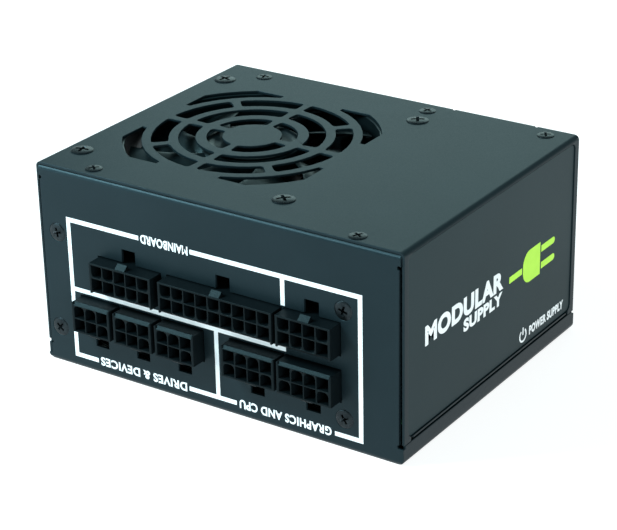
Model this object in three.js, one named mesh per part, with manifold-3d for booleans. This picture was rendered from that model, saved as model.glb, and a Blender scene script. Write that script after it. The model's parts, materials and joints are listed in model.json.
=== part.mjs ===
// A small modular computer power supply: a steel box 125 x 100 x 63.5 mm with a fan under
// the top grille, output sockets in the front panel (-Y) and the mains inlet, the switch
// and a honeycomb vent in the rear panel (+Y).
// Millimetres, +Z up. The origin is the middle of the underside.

import * as THREE from 'three';
import { mergeVertices } from 'three/addons/utils/BufferGeometryUtils.js';
import Module from 'manifold-3d';

const wasm = await Module();
wasm.setup();

// ---- driving dimensions -------------------------------------------------------------

// steel box
const WIDTH = 125;
const DEPTH = 100;
const HEIGHT = 63.5;
const SHEET = 0.8;
const HALF_W = WIDTH / 2;
const FRONT_Y = -DEPTH / 2;
const REAR_Y = DEPTH / 2;

// top cover
const COVER_SETBACK = 0.5;
const COVER_END = REAR_Y - COVER_SETBACK;
const COVER_BEND = 1.5;
const SEAM_Z = 6.2;
const SLIT_TOP_Z = 6.7;
const SLIT_END_Y = 45.3;
const SLIT_NOTCH = 1.1;
const COVER_UNDER_Z = HEIGHT - SHEET;
const REAR_NOTCH_X = [20, 48.3];
const REAR_NOTCH_WIDTH = 0.8;
const REAR_NOTCH_DEPTH = 0.6;
const REAR_NOTCH_DROP = 1.6;

// recess and label on the right side
const RECESS = { y0: -47.3, y1: 47.2, z0: 7.4, z1: 61.9, radius: 2, depth: 0.5 };
const LABEL_MARGIN = 0.25;
const LABEL_THICK = 0.2;

// lower chassis
const PANEL_TOP_Z = COVER_UNDER_Z - 0.1;
const PANEL_HALF_W = 61.2;
const PANEL_WIDE_HALF_W = 61.55;
const PANEL_WIDE_Z = 59;
const PANEL_FOOT_Z = 5.4;
const FLANGE_TOP_Z = 6;
const FLANGE_DEPTH = 9;
const FLANGE_HALF_W = 60.5;
const PANEL_BEND = 1.2;
const FLOOR_BEND = 1.8;
const RELIEF_RADIUS = 0.6;

// fan and grille
const FAN_X = -20.4;
const FAN_Y = -0.3;
const FAN_SIZE = 80;
const FAN_THICK = 15;
const FAN_HOLE_OFFSET = 35.75;
const FAN_TOP_Z = COVER_UNDER_Z - 0.1;
const FAN_BASE_Z = FAN_TOP_Z - FAN_THICK;
const FAN_BORE_RADIUS = 38;
const FAN_HUB_RADIUS = 15;
const FAN_BLADES = 9;
const GRILLE_BAR = 2.6;
const GRILLE_RINGS = [
  { inner: 8.9, outer: 13.6, bars: 4 },
  { inner: 16.9, outer: 22.0, bars: 4 },
  { inner: 24.9, outer: 30.1, bars: 8 },
];
const SLOT_CORNER = 1;
const SLOT_STEP = 9;
const GRILLE_CORNER = { inner: 32.9, outer: 38.6, square: 32.6, tip: 10.9 };

// screws: head radius, head height, shank radius, shank length
const FAN_SCREW = { head: 3.4, rise: 0.6, shank: 1.9, length: 10 };
const COVER_SCREW = { head: 2.6, rise: 0.45, shank: 1.5, length: 5 };
const BOARD_SCREW = { head: 2.8, rise: 1.8, shank: 1.4, length: 5.5 };
const FRONT_SCREW = { head: 2.9, shank: 1.5, length: 11 };
const SCREW_CLEARANCE = 0.3;
const COVER_SCREW_PLACES = [
  [-46.7, 43.8], [-44.1, -45.5], [13.7, 44], [54, 44.3], [46.2, -46.4],
];
const FRONT_SCREW_PLACES = [
  [-55.7, 42.6], [-57, 11.6], [43.6, 42.3], [43.6, 9.3],
];
const BOARD_SCREW_PLACES = [
  [-57, -36], [57, -36], [-57, 43], [57, 43],
];

// output sockets: 4.2 mm pitch, two rows of cells
const PITCH = 4.2;
const CELL = 3.7;
const CELL_ROUND = 1.15;
const CELL_LIFT = 0.25;
const CELL_DEPTH = 9.5;
const SOCKET_HEIGHT = 9.6;
const SOCKET_END_WALL = 2.7;
const SOCKET_FRONT_Y = -54.8;
const SOCKET_REAR_Y = -42.3;
const TERMINAL = 1.1;
const TERMINAL_FRONT_Y = SOCKET_FRONT_Y + 4.5;
const UPPER_ROW_Z = 33.5;
const LOWER_ROW_Z = 19.2;
const LIP_BEVEL = 0.9;
const LIP_RIB = 0.6;
const CUTOUT_MARGIN = 0.3;
const LATCH_NOTCH_WIDTH = 4.8;
const LATCH_NOTCH_TOP = 9.3;
const LATCH_NOTCH_BOTTOM = 10.5;
const LATCH_WIDTH = 3.6;
const LATCH_LENGTH = 2.3;
const LATCH_RISE = 1.4;
// cells: D has two round corners, S is square; first the latch-side row, then the other row
const SOCKETS = [
  { name: 'socket_10_pin', x: -29.5, row: 'upper', cells: ['DDSSD', 'SSDDS'] },
  { name: 'socket_18_pin', x: 3.7, row: 'upper', cells: ['DDSSDDSSD', 'SSDDSSDDS'] },
  { name: 'socket_8_pin_upper', x: 33.4, row: 'upper', cells: ['DSSD', 'SDDS'] },
  { name: 'socket_6_pin_1', x: -41.2, row: 'lower', cells: ['DSS', 'SDD'] },
  { name: 'socket_6_pin_2', x: -26.0, row: 'lower', cells: ['DSS', 'SDD'] },
  { name: 'socket_6_pin_3', x: -10.9, row: 'lower', cells: ['DSS', 'SDD'] },
  { name: 'socket_8_pin_lower_1', x: 14.55, row: 'lower', cells: ['DSSD', 'SDDS'] },
  { name: 'socket_8_pin_lower_2', x: 33.4, row: 'lower', cells: ['DSSD', 'SDDS'] },
];

// boards
const BOARD_THICK = 1.6;
const BOARD_Z = 6;
const BOARD_TOP = BOARD_Z + BOARD_THICK;
const SOCKET_BOARD_Y = -42.2;
const STANDOFF_RADIUS = 2.9;
const MAIN_BOARD = { halfW: 60.3, y0: -39, y1: 47.5 };
const SOCKET_BOARD = { x0: -59.5, x1: 48, z0: 5.2, z1: 47 };
const CONTROLLER_BOARD = { x0: -24, x1: 6, y0: -21.6, y1: -20, height: 22 };

// what stands on the main board: middle of the foot, and sizes
const BULK_CAPACITOR = { x: 45, y: -26, radius: 12.5, height: 44 };
const OUTPUT_CAPACITORS = [
  { x: -42, y: -22, radius: 5, height: 22 },
  { x: -42, y: -8, radius: 5, height: 22 },
];
const PFC_CHOKE = { x: 42, y: 3, outer: 14, inner: 6, height: 15 };
const COMMON_MODE_CHOKE = { x: -2, y: 32, outer: 8.5, inner: 3.5, height: 10 };
const OUTPUT_CHOKE = { x: -46, y: 14, outer: 10.5, inner: 4.5, height: 12 };
const TRANSFORMER = { x: -8, y: 2 };
const PRIMARY_HEATSINK = { x: 17, y: -6, length: 56, height: 34, fins: 9 };
const SECONDARY_HEATSINK = { x: -30, y: 1, length: 52, height: 30, fins: 8 };
const STANDBY_TRANSFORMER = { x: -6, y: -30 };

// mains inlet and switch in the rear panel
const INLET_X = 38;
const INLET_Z = 19.5;
const INLET_FLANGE = { halfW: 15.5, halfH: 11.3, thick: 2.2 };
const INLET_BODY = { halfW: 13.4, halfH: 9.8, rearY: 33 };
const INLET_CAVITY = { halfW: 12.1, halfH: 8.1, cut: 4.6, floorY: 36 };
const PIN = { halfW: 1, halfH: 2, tabY: 27, tipY: 50 };
const PIN_PLACES = { live: [-7, -2], neutral: [7, -2], earth: [0, 2] };
const SWITCH_X = 38;
const SWITCH_Z = 46;
const SWITCH_BEZEL = { halfW: 7.6, halfH: 10.6, thick: 1.8 };
const SWITCH_BODY = { halfW: 6.5, halfH: 9.5, rearY: 36 };
const SWITCH_WELL = { halfW: 5.4, halfH: 8.5, floorY: 41 };
const ROCKER_AXIS_Y = 47.4;
const ROCKER_TILT = 9;

// honeycomb vent in the rear panel
const VENT = { x0: -56, x1: 17, z0: 12, z1: 54, pitch: 7.6, flat: 6.4 };
const MOUNT_HOLES = { x: 56.5, z0: 6, z1: 57.5, radius: 1.75 };

// ---- materials ----------------------------------------------------------------------

function finish(color, roughness, metalness) {
  return new THREE.MeshStandardMaterial({ color, roughness, metalness });
}

const powderCoat = finish(0x3c474a, 0.6, 0.3);
const labelFilm = finish(0x2f3b40, 0.5, 0.1);
const blackScrew = finish(0x20262a, 0.35, 0.9);
const zincScrew = finish(0xb8bcc0, 0.35, 0.9);
const blackPlastic = finish(0x15191b, 0.5, 0);
const fanPlastic = finish(0x1a1d1f, 0.45, 0);
const boardGreen = finish(0x1d5a38, 0.5, 0);
const boardBlack = finish(0x14171a, 0.5, 0);
const clearFilm = finish(0x20242a, 0.4, 0);
const nickel = finish(0xc9c4b4, 0.3, 1);
const steel = finish(0xa9adb1, 0.35, 1);
const copper = finish(0xb4652f, 0.4, 0.8);
const aluminium = finish(0xc2c6c9, 0.4, 0.9);
const ferrite = finish(0x3b3d3f, 0.8, 0);
const sleeve = finish(0x171a24, 0.4, 0);
const yellowTape = finish(0xd8b531, 0.5, 0);
const yellowBox = finish(0xe0c24a, 0.5, 0);
const greenCoat = finish(0x3c6b46, 0.5, 0);
const blueBox = finish(0x2c4f8a, 0.5, 0);
const blackEpoxy = finish(0x1b1c1d, 0.6, 0);
const brownWire = finish(0x5a3520, 0.5, 0);
const blueWire = finish(0x27509a, 0.5, 0);
const blackWire = finish(0x181818, 0.6, 0);

// ---- shapes and solids --------------------------------------------------------------

// A closed three.js geometry as a solid that can be joined and cut.
function solid(geometry) {
  geometry.deleteAttribute('normal');
  geometry.deleteAttribute('uv');
  const merged = mergeVertices(geometry, 1e-4);
  const mesh = new wasm.Mesh({
    numProp: 3,
    vertProperties: new Float32Array(merged.attributes.position.array),
    triVerts: new Uint32Array(merged.index.array),
  });
  mesh.merge();
  return new wasm.Manifold(mesh);
}

// The solid back as flat-shaded triangles.
function geometryOf(body) {
  const mesh = body.getMesh();
  const geometry = new THREE.BufferGeometry();
  geometry.setAttribute('position', new THREE.BufferAttribute(mesh.vertProperties, 3));
  geometry.setIndex(new THREE.BufferAttribute(mesh.triVerts, 1));
  const flat = geometry.toNonIndexed();
  flat.computeVertexNormals();
  return flat;
}

function joined(bodies) {
  return bodies.reduce((sum, body) => sum.add(body));
}

function cut(body, tools) {
  return tools.reduce((rest, tool) => rest.subtract(tool), body);
}

function box(x0, x1, y0, y1, z0, z1) {
  const geometry = new THREE.BoxGeometry(x1 - x0, y1 - y0, z1 - z0);
  geometry.translate((x0 + x1) / 2, (y0 + y1) / 2, (z0 + z1) / 2);
  return solid(geometry);
}

function extruded(shape, depth, curveSegments) {
  return new THREE.ExtrudeGeometry(shape, { depth, curveSegments, bevelEnabled: false });
}

// The shape's x and y become X and Y.
function slabXY(shape, z0, z1, curveSegments = 2) {
  return solid(extruded(shape, z1 - z0, curveSegments).translate(0, 0, z0));
}

// The shape's x and y become X and Z.
function slabXZ(shape, y0, y1, curveSegments = 2) {
  const geometry = extruded(shape, y1 - y0, curveSegments);
  return solid(geometry.rotateX(Math.PI / 2).translate(0, y1, 0));
}

// The shape's x and y become Y and Z.
function slabYZ(shape, x0, x1, curveSegments = 2) {
  const geometry = extruded(shape, x1 - x0, curveSegments);
  const axes = new THREE.Matrix4().makeBasis(
    new THREE.Vector3(0, 1, 0), new THREE.Vector3(0, 0, 1), new THREE.Vector3(1, 0, 0));
  return solid(geometry.applyMatrix4(axes).translate(x0, 0, 0));
}

// A turned piece about the vertical axis from [radius, z] points.
function turned(profile, segments) {
  const points = profile.map(([radius, z]) => new THREE.Vector2(radius, z));
  return solid(new THREE.LatheGeometry(points, segments).rotateX(Math.PI / 2));
}

function rod(radius, z0, z1, segments = 12) {
  return turned([[0, z0], [radius, z0], [radius, z1], [0, z1]], segments);
}

function polygon(points) {
  return new THREE.Shape(points.map(([x, y]) => new THREE.Vector2(x, y)));
}

function roundedRectangle(x0, x1, y0, y1, radius) {
  const shape = new THREE.Shape();
  shape.moveTo(x0 + radius, y0);
  shape.lineTo(x1 - radius, y0);
  shape.absarc(x1 - radius, y0 + radius, radius, -Math.PI / 2, 0);
  shape.lineTo(x1, y1 - radius);
  shape.absarc(x1 - radius, y1 - radius, radius, 0, Math.PI / 2);
  shape.lineTo(x0 + radius, y1);
  shape.absarc(x0 + radius, y1 - radius, radius, Math.PI / 2, Math.PI);
  shape.lineTo(x0, y0 + radius);
  shape.absarc(x0 + radius, y0 + radius, radius, Math.PI, Math.PI * 1.5);
  return shape;
}

// A rectangle whose two upper corners are cut at 45 degrees.
function cutCornerRectangle(halfW, halfH, corner) {
  return polygon([
    [-halfW, -halfH], [halfW, -halfH], [halfW, halfH - corner],
    [halfW - corner, halfH], [-halfW + corner, halfH], [-halfW, halfH - corner],
  ]);
}

const group = new THREE.Group();

function addPart(name, body, material) {
  const mesh = new THREE.Mesh(geometryOf(body), material);
  mesh.name = name;
  group.add(mesh);
}

function degrees(angle) {
  return THREE.MathUtils.degToRad(angle);
}

// ---- top cover ----------------------------------------------------------------------

function polar(radius, angle) {
  return [radius * Math.cos(angle), radius * Math.sin(angle)];
}

function arcPoints(radius, start, end, steps) {
  const points = [];
  for (let i = 0; i <= steps; i += 1) {
    points.push(polar(radius, start + ((end - start) * i) / steps));
  }
  return points;
}

// One arc-shaped slot between two radii and two angles, its corners slightly rounded.
function arcSlot(inner, outer, start, end) {
  const corner = SLOT_CORNER;
  const steps = Math.ceil((end - start) / degrees(SLOT_STEP));
  const outerTurn = corner / outer;
  const innerTurn = corner / inner;
  const midTurn = (0.3 * corner) / outer;
  return polygon([
    polar(outer - corner, start),
    polar(outer - 0.3 * corner, start + midTurn),
    ...arcPoints(outer, start + outerTurn, end - outerTurn, steps),
    polar(outer - 0.3 * corner, end - midTurn),
    polar(outer - corner, end),
    polar(inner + corner, end),
    polar(inner + 0.3 * corner, end - midTurn),
    ...arcPoints(inner, end - innerTurn, start + innerTurn, steps),
    polar(inner + 0.3 * corner, start + midTurn),
    polar(inner + corner, start),
  ]);
}

// The slots of one grille ring: the bars between them keep their width at mid radius.
function grilleRing({ inner, outer, bars }) {
  const step = (2 * Math.PI) / bars;
  const halfBar = GRILLE_BAR / (inner + outer);
  const slots = [];
  for (let i = 0; i < bars; i += 1) {
    slots.push(arcSlot(inner, outer, i * step + halfBar, (i + 1) * step - halfBar));
  }
  return slots;
}

// A slot in one corner of the grille: outside the last ring, inside a square.
function grilleCorner(quarter) {
  const { inner, outer, square, tip } = GRILLE_CORNER;
  const innerAngle = Math.asin(tip / inner);
  const outerAngle = Math.acos(square / outer);
  const outline = polygon([
    [square, tip],
    ...arcPoints(outer, outerAngle, Math.PI / 2 - outerAngle, 4),
    [tip, square],
    ...arcPoints(inner, Math.PI / 2 - innerAngle, innerAngle, 6),
  ]);
  return slabXY(outline, COVER_UNDER_Z - 1, HEIGHT + 1).rotate([0, 0, quarter * 90]);
}

function grille() {
  const slots = GRILLE_RINGS.flatMap(grilleRing);
  const bodies = slots.map((slot) => slabXY(slot, COVER_UNDER_Z - 1, HEIGHT + 1));
  for (let quarter = 0; quarter < 4; quarter += 1) {
    bodies.push(grilleCorner(quarter));
  }
  return bodies.map((body) => body.translate([FAN_X, FAN_Y, 0]));
}

function fanScrewPlaces() {
  const offset = FAN_HOLE_OFFSET;
  const corners = [[-1, -1], [1, -1], [-1, 1], [1, 1]];
  return corners.map(([i, j]) => [FAN_X + i * offset, FAN_Y + j * offset]);
}

// The slit between a cover side and the chassis, with its little end notches.
function seamSlits() {
  const tools = [];
  for (const side of [-1, 1]) {
    const x0 = side * HALF_W - 2;
    const x1 = side * HALF_W + 2;
    tools.push(box(x0, x1, -SLIT_END_Y, SLIT_END_Y, SEAM_Z - 1, SLIT_TOP_Z));
    for (const end of [-1, 1]) {
      const y = end * SLIT_END_Y;
      const z1 = SEAM_Z + SLIT_NOTCH;
      tools.push(box(x0, x1, y - SLIT_NOTCH / 2, y + SLIT_NOTCH / 2, SEAM_Z - 1, z1));
    }
  }
  return tools;
}

function recessOutline(margin) {
  const { y0, y1, z0, z1, radius } = RECESS;
  return roundedRectangle(y0 + margin, y1 - margin, z0 + margin, z1 - margin, radius - margin);
}

function topCover() {
  const inner = COVER_BEND - SHEET;
  const profile = new THREE.Shape();
  profile.moveTo(HALF_W, SEAM_Z);
  profile.lineTo(HALF_W, HEIGHT - COVER_BEND);
  profile.absarc(HALF_W - COVER_BEND, HEIGHT - COVER_BEND, COVER_BEND, 0, Math.PI / 2);
  profile.lineTo(COVER_BEND - HALF_W, HEIGHT);
  profile.absarc(COVER_BEND - HALF_W, HEIGHT - COVER_BEND, COVER_BEND, Math.PI / 2, Math.PI);
  profile.lineTo(-HALF_W, SEAM_Z);
  profile.lineTo(SHEET - HALF_W, SEAM_Z);
  profile.lineTo(SHEET - HALF_W, HEIGHT - COVER_BEND);
  profile.absarc(COVER_BEND - HALF_W, HEIGHT - COVER_BEND, inner, Math.PI, Math.PI / 2, true);
  profile.lineTo(HALF_W - COVER_BEND, HEIGHT - SHEET);
  profile.absarc(HALF_W - COVER_BEND, HEIGHT - COVER_BEND, inner, Math.PI / 2, 0, true);
  profile.lineTo(HALF_W - SHEET, SEAM_Z);
  const bent = slabXZ(profile, -COVER_END, COVER_END);
  const bulge = slabYZ(recessOutline(-SHEET), HALF_W - SHEET - RECESS.depth, HALF_W - SHEET);
  const floorCut = box(60, HALF_W, -COVER_END, COVER_END, 0, SEAM_Z + 0.1);
  const pressed = slabYZ(recessOutline(0), HALF_W - RECESS.depth, HALF_W + 1);
  const fanHole = FAN_SCREW.shank + SCREW_CLEARANCE;
  const coverHole = COVER_SCREW.shank + SCREW_CLEARANCE;
  const drill = (radius) => ([x, y]) => rod(radius, 60, HEIGHT + 1).translate([x, y, 0]);
  const notches = REAR_NOTCH_X.map((x) => box(
    x - REAR_NOTCH_WIDTH / 2, x + REAR_NOTCH_WIDTH / 2,
    COVER_END - REAR_NOTCH_DEPTH, COVER_END + 1, 60, HEIGHT + 1));
  return cut(bent.add(cut(bulge, [floorCut])), [
    pressed,
    ...grille(),
    ...fanScrewPlaces().map(drill(fanHole)),
    ...COVER_SCREW_PLACES.map(drill(coverHole)),
    ...seamSlits(),
    ...notches,
  ]);
}

function sideLabel() {
  const x0 = HALF_W - RECESS.depth;
  return slabYZ(recessOutline(LABEL_MARGIN), x0, x0 + LABEL_THICK);
}

// ---- lower chassis ------------------------------------------------------------------

// The bent channel: floor, front and rear panels and their top flanges, as a Y-Z outline.
function channelOutline() {
  const out = PANEL_BEND;
  const inn = PANEL_BEND - SHEET;
  const flangeY = REAR_Y - FLANGE_DEPTH;
  const cy = REAR_Y - out;
  const cz = PANEL_TOP_Z - out;
  const quarter = Math.PI / 2;
  const shape = new THREE.Shape();
  shape.moveTo(-flangeY, PANEL_TOP_Z);
  shape.lineTo(-cy, PANEL_TOP_Z);
  shape.absarc(-cy, cz, out, quarter, 2 * quarter);
  shape.lineTo(FRONT_Y, out);
  shape.absarc(-cy, out, out, 2 * quarter, 3 * quarter);
  shape.lineTo(cy, 0);
  shape.absarc(cy, out, out, 3 * quarter, 4 * quarter);
  shape.lineTo(REAR_Y, cz);
  shape.absarc(cy, cz, out, 0, quarter);
  shape.lineTo(flangeY, PANEL_TOP_Z);
  shape.lineTo(flangeY, PANEL_TOP_Z - SHEET);
  shape.lineTo(cy, PANEL_TOP_Z - SHEET);
  shape.absarc(cy, cz, inn, quarter, 0, true);
  shape.lineTo(REAR_Y - SHEET, out);
  shape.absarc(cy, out, inn, 0, -quarter, true);
  shape.lineTo(-cy, SHEET);
  shape.absarc(-cy, out, inn, -quarter, -2 * quarter, true);
  shape.lineTo(FRONT_Y + SHEET, cz);
  shape.absarc(-cy, cz, inn, 2 * quarter, quarter, true);
  shape.lineTo(-flangeY, PANEL_TOP_Z - SHEET);
  return shape;
}

// The full block with the same rounded long edges, to trim the wide ends of the panels.
function roundedBlock(halfW) {
  return slabYZ(roundedRectangle(FRONT_Y, REAR_Y, 0, PANEL_TOP_Z, PANEL_BEND), -halfW, halfW);
}

// Floor and side flanges as an X-Z outline.
function trayOutline() {
  const inner = FLOOR_BEND - SHEET;
  const cx = HALF_W - FLOOR_BEND;
  const quarter = Math.PI / 2;
  const shape = new THREE.Shape();
  shape.moveTo(-HALF_W, FLANGE_TOP_Z);
  shape.lineTo(-HALF_W, FLOOR_BEND);
  shape.absarc(-cx, FLOOR_BEND, FLOOR_BEND, 2 * quarter, 3 * quarter);
  shape.lineTo(cx, 0);
  shape.absarc(cx, FLOOR_BEND, FLOOR_BEND, 3 * quarter, 4 * quarter);
  shape.lineTo(HALF_W, FLANGE_TOP_Z);
  shape.lineTo(HALF_W - SHEET, FLANGE_TOP_Z);
  shape.lineTo(HALF_W - SHEET, FLOOR_BEND);
  shape.absarc(cx, FLOOR_BEND, inner, 0, -quarter, true);
  shape.lineTo(-cx, SHEET);
  shape.absarc(-cx, FLOOR_BEND, inner, -quarter, -2 * quarter, true);
  shape.lineTo(SHEET - HALF_W, FLANGE_TOP_Z);
  return shape;
}

// The foot of the front or rear panel, as wide as the box.
function panelFoot(y0, y1) {
  const shape = new THREE.Shape();
  const cx = HALF_W - FLOOR_BEND;
  shape.moveTo(-HALF_W, PANEL_FOOT_Z);
  shape.absarc(-cx, FLOOR_BEND, FLOOR_BEND, Math.PI, Math.PI * 1.5);
  shape.absarc(cx, FLOOR_BEND, FLOOR_BEND, -Math.PI / 2, 0);
  shape.lineTo(HALF_W, PANEL_FOOT_Z);
  return slabXZ(shape, y0, y1);
}

function rodAlongY(radius, x, z, y0, y1, segments = 12) {
  return rod(radius, -y1, -y0, segments).rotate([90, 0, 0]).translate([x, 0, z]);
}

function socketLength(socket) {
  return PITCH * (socket.cells[0].length - 1) + 2 * SOCKET_END_WALL;
}

function socketCutouts() {
  const tools = [];
  const y0 = FRONT_Y - 1;
  const y1 = FRONT_Y + SHEET + 1;
  const halfH = SOCKET_HEIGHT / 2 + CUTOUT_MARGIN;
  const halfNotch = LATCH_NOTCH_WIDTH / 2;
  for (const socket of SOCKETS) {
    const halfW = socketLength(socket) / 2 + CUTOUT_MARGIN;
    const upper = socket.row === 'upper';
    const z = upper ? UPPER_ROW_Z : LOWER_ROW_Z;
    const notchZ = upper ? z + LATCH_NOTCH_TOP : z - LATCH_NOTCH_BOTTOM;
    tools.push(box(socket.x - halfW, socket.x + halfW, y0, y1, z - halfH, z + halfH));
    tools.push(box(socket.x - halfNotch, socket.x + halfNotch, y0, y1,
      Math.min(z, notchZ), Math.max(z, notchZ)));
  }
  return tools;
}

// A countersunk hole in the front panel for each front screw.
function frontScrewHoles() {
  const wide = FRONT_SCREW.head + SCREW_CLEARANCE / 2;
  const narrow = wide - SHEET;
  const hole = turned([[0, -1], [wide, -1], [wide, 0], [narrow, SHEET], [narrow, 2], [0, 2]], 12);
  return FRONT_SCREW_PLACES.map(
    ([x, z]) => hole.rotate([-90, 0, 0]).translate([x, FRONT_Y, z]));
}

function ventHoles() {
  const holes = [];
  const rowStep = VENT.pitch * Math.sin(degrees(60));
  const corner = VENT.flat / 2 / Math.cos(degrees(30));
  const rows = Math.floor((VENT.z1 - VENT.z0) / rowStep);
  for (let row = 0; row <= rows; row += 1) {
    const z = VENT.z0 + row * rowStep;
    const shift = row % 2 === 0 ? 0 : VENT.pitch / 2;
    for (let x = VENT.x0 + shift; x <= VENT.x1; x += VENT.pitch) {
      const points = [];
      for (let k = 0; k < 6; k += 1) {
        const angle = degrees(60 * k + 30);
        points.push([x + corner * Math.cos(angle), z + corner * Math.sin(angle)]);
      }
      holes.push(slabXZ(polygon(points), REAR_Y - 2, REAR_Y + 1));
    }
  }
  return holes;
}

function rearHoles() {
  const gap = 0.3;
  const inlet = box(
    INLET_X - INLET_BODY.halfW - gap, INLET_X + INLET_BODY.halfW + gap, REAR_Y - 2, REAR_Y + 1,
    INLET_Z - INLET_BODY.halfH - gap, INLET_Z + INLET_BODY.halfH + gap);
  const powerSwitch = box(
    SWITCH_X - SWITCH_BODY.halfW - gap, SWITCH_X + SWITCH_BODY.halfW + gap, REAR_Y - 2,
    REAR_Y + 1, SWITCH_Z - SWITCH_BODY.halfH - gap, SWITCH_Z + SWITCH_BODY.halfH + gap);
  const holes = [inlet, powerSwitch];
  for (const x of [-MOUNT_HOLES.x, MOUNT_HOLES.x]) {
    for (const z of [MOUNT_HOLES.z0, MOUNT_HOLES.z1]) {
      holes.push(rodAlongY(MOUNT_HOLES.radius, x, z, REAR_Y - 2, REAR_Y + 1));
    }
  }
  return holes;
}

// Half-round bend reliefs at the side edges of the front and rear panels.
function bendReliefs() {
  const tools = [];
  const places = [[PANEL_HALF_W - 0.1, PANEL_FOOT_Z + 0.3], [PANEL_WIDE_HALF_W - 0.5, PANEL_WIDE_Z]];
  for (const side of [-1, 1]) {
    for (const [x, z] of places) {
      const spans = [[FRONT_Y - 1, FRONT_Y + SHEET + 0.4], [REAR_Y - SHEET - 0.4, REAR_Y + 1]];
      for (const [y0, y1] of spans) {
        tools.push(rodAlongY(RELIEF_RADIUS, side * x, z, y0, y1));
        const edge = side * (x + 2);
        tools.push(box(Math.min(side * x, edge), Math.max(side * x, edge), y0, y1,
          z - RELIEF_RADIUS, z + RELIEF_RADIUS / 2));
      }
    }
  }
  return tools;
}

function mainStandoffs() {
  const outer = rod(STANDOFF_RADIUS, SHEET / 2, BOARD_Z, 12);
  const bore = rod(BOARD_SCREW.shank + SCREW_CLEARANCE, 1.5, BOARD_Z + 1, 12);
  return BOARD_SCREW_PLACES.map(([x, y]) => outer.subtract(bore).translate([x, y, 0]));
}

function lowerChassis() {
  const channel = slabYZ(channelOutline(), -PANEL_HALF_W, PANEL_HALF_W);
  const tray = slabXZ(trayOutline(), -COVER_END, COVER_END);
  const block = roundedBlock(HALF_W);
  const wide = PANEL_WIDE_HALF_W;
  const ends = [];
  for (const [y0, y1] of [[FRONT_Y, FRONT_Y + SHEET], [REAR_Y - SHEET, REAR_Y]]) {
    ends.push(panelFoot(y0, y1).intersect(block));
    ends.push(box(-wide, wide, y0, y1, PANEL_WIDE_Z, PANEL_TOP_Z).intersect(block));
  }
  const flangeTrims = [-1, 1].map((side) => box(
    Math.min(side * FLANGE_HALF_W, side * HALF_W), Math.max(side * FLANGE_HALF_W, side * HALF_W),
    FRONT_Y + PANEL_BEND, REAR_Y - PANEL_BEND, HEIGHT - 4, HEIGHT));
  const screwHole = rod(COVER_SCREW.shank + SCREW_CLEARANCE, HEIGHT - 4, HEIGHT);
  const notches = REAR_NOTCH_X.map((x) => box(
    x - REAR_NOTCH_WIDTH / 2, x + REAR_NOTCH_WIDTH / 2,
    COVER_END - REAR_NOTCH_DEPTH, REAR_Y + 1, PANEL_TOP_Z - REAR_NOTCH_DROP, HEIGHT + 1));
  return cut(joined([channel, tray, ...ends, ...mainStandoffs()]), [
    ...flangeTrims,
    ...COVER_SCREW_PLACES.map(([x, y]) => screwHole.translate([x, y, 0])),
    ...notches,
    ...bendReliefs(),
    ...socketCutouts(),
    ...frontScrewHoles(),
    ...ventHoles(),
    ...rearHoles(),
  ]);
}

// Thin plastic sheet between the floor and the main board, open round the standoffs.
function insulationSheet() {
  const sheet = slabXY(roundedRectangle(-60, 60, -47, 47, 3), SHEET + 0.1, SHEET + 0.5, 1);
  const round = rod(STANDOFF_RADIUS + 0.6, 0, 3, 12);
  return cut(sheet, BOARD_SCREW_PLACES.map(([x, y]) => round.translate([x, y, 0])));
}

// ---- screws -------------------------------------------------------------------------

// A low domed head above z = 0 and a shank below it.
function panScrew({ head, rise, shank, length }) {
  return turned([
    [0, -length], [shank, -length], [shank, 0], [head, 0],
    [head, rise * 0.35], [head * 0.7, rise], [0, rise],
  ], 10);
}

function countersunkScrew({ head, shank, length }) {
  return turned([
    [0, -length], [shank, -length], [shank, -1.4], [head, 0], [0, 0],
  ], 12);
}

function addScrews() {
  const places = fanScrewPlaces();
  places.forEach(([x, y], i) => {
    const body = panScrew(FAN_SCREW).translate([x, y, HEIGHT]);
    addPart(`fan_screw_${i + 1}`, body, blackScrew);
  });
  COVER_SCREW_PLACES.forEach(([x, y], i) => {
    const body = panScrew(COVER_SCREW).translate([x, y, HEIGHT]);
    addPart(`cover_screw_${i + 1}`, body, blackScrew);
  });
  FRONT_SCREW_PLACES.forEach(([x, z], i) => {
    const body = countersunkScrew(FRONT_SCREW).rotate([90, 0, 0]).translate([x, FRONT_Y, z]);
    addPart(`socket_board_screw_${i + 1}`, body, blackScrew);
  });
  BOARD_SCREW_PLACES.forEach(([x, y], i) => {
    const body = panScrew(BOARD_SCREW).translate([x, y, BOARD_TOP]);
    addPart(`main_board_screw_${i + 1}`, body, zincScrew);
  });
}

// ---- output sockets -----------------------------------------------------------------

// A cell mouth: square, or with the two corners away from the latch rounded.
function cellOutline(x, z, round) {
  const half = CELL / 2;
  if (!round) {
    return polygon([
      [x - half, z - half], [x + half, z - half], [x + half, z + half], [x - half, z + half],
    ]);
  }
  const inset = half - CELL_ROUND;
  const corner = (cx, start) => arcPoints(CELL_ROUND, start, start + Math.PI / 2, 2)
    .map(([dx, dz]) => [cx + dx, z - inset + dz]);
  return polygon([
    [x + half, z + half], [x - half, z + half],
    ...corner(x - inset, Math.PI), ...corner(x + inset, Math.PI * 1.5),
  ]);
}

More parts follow.
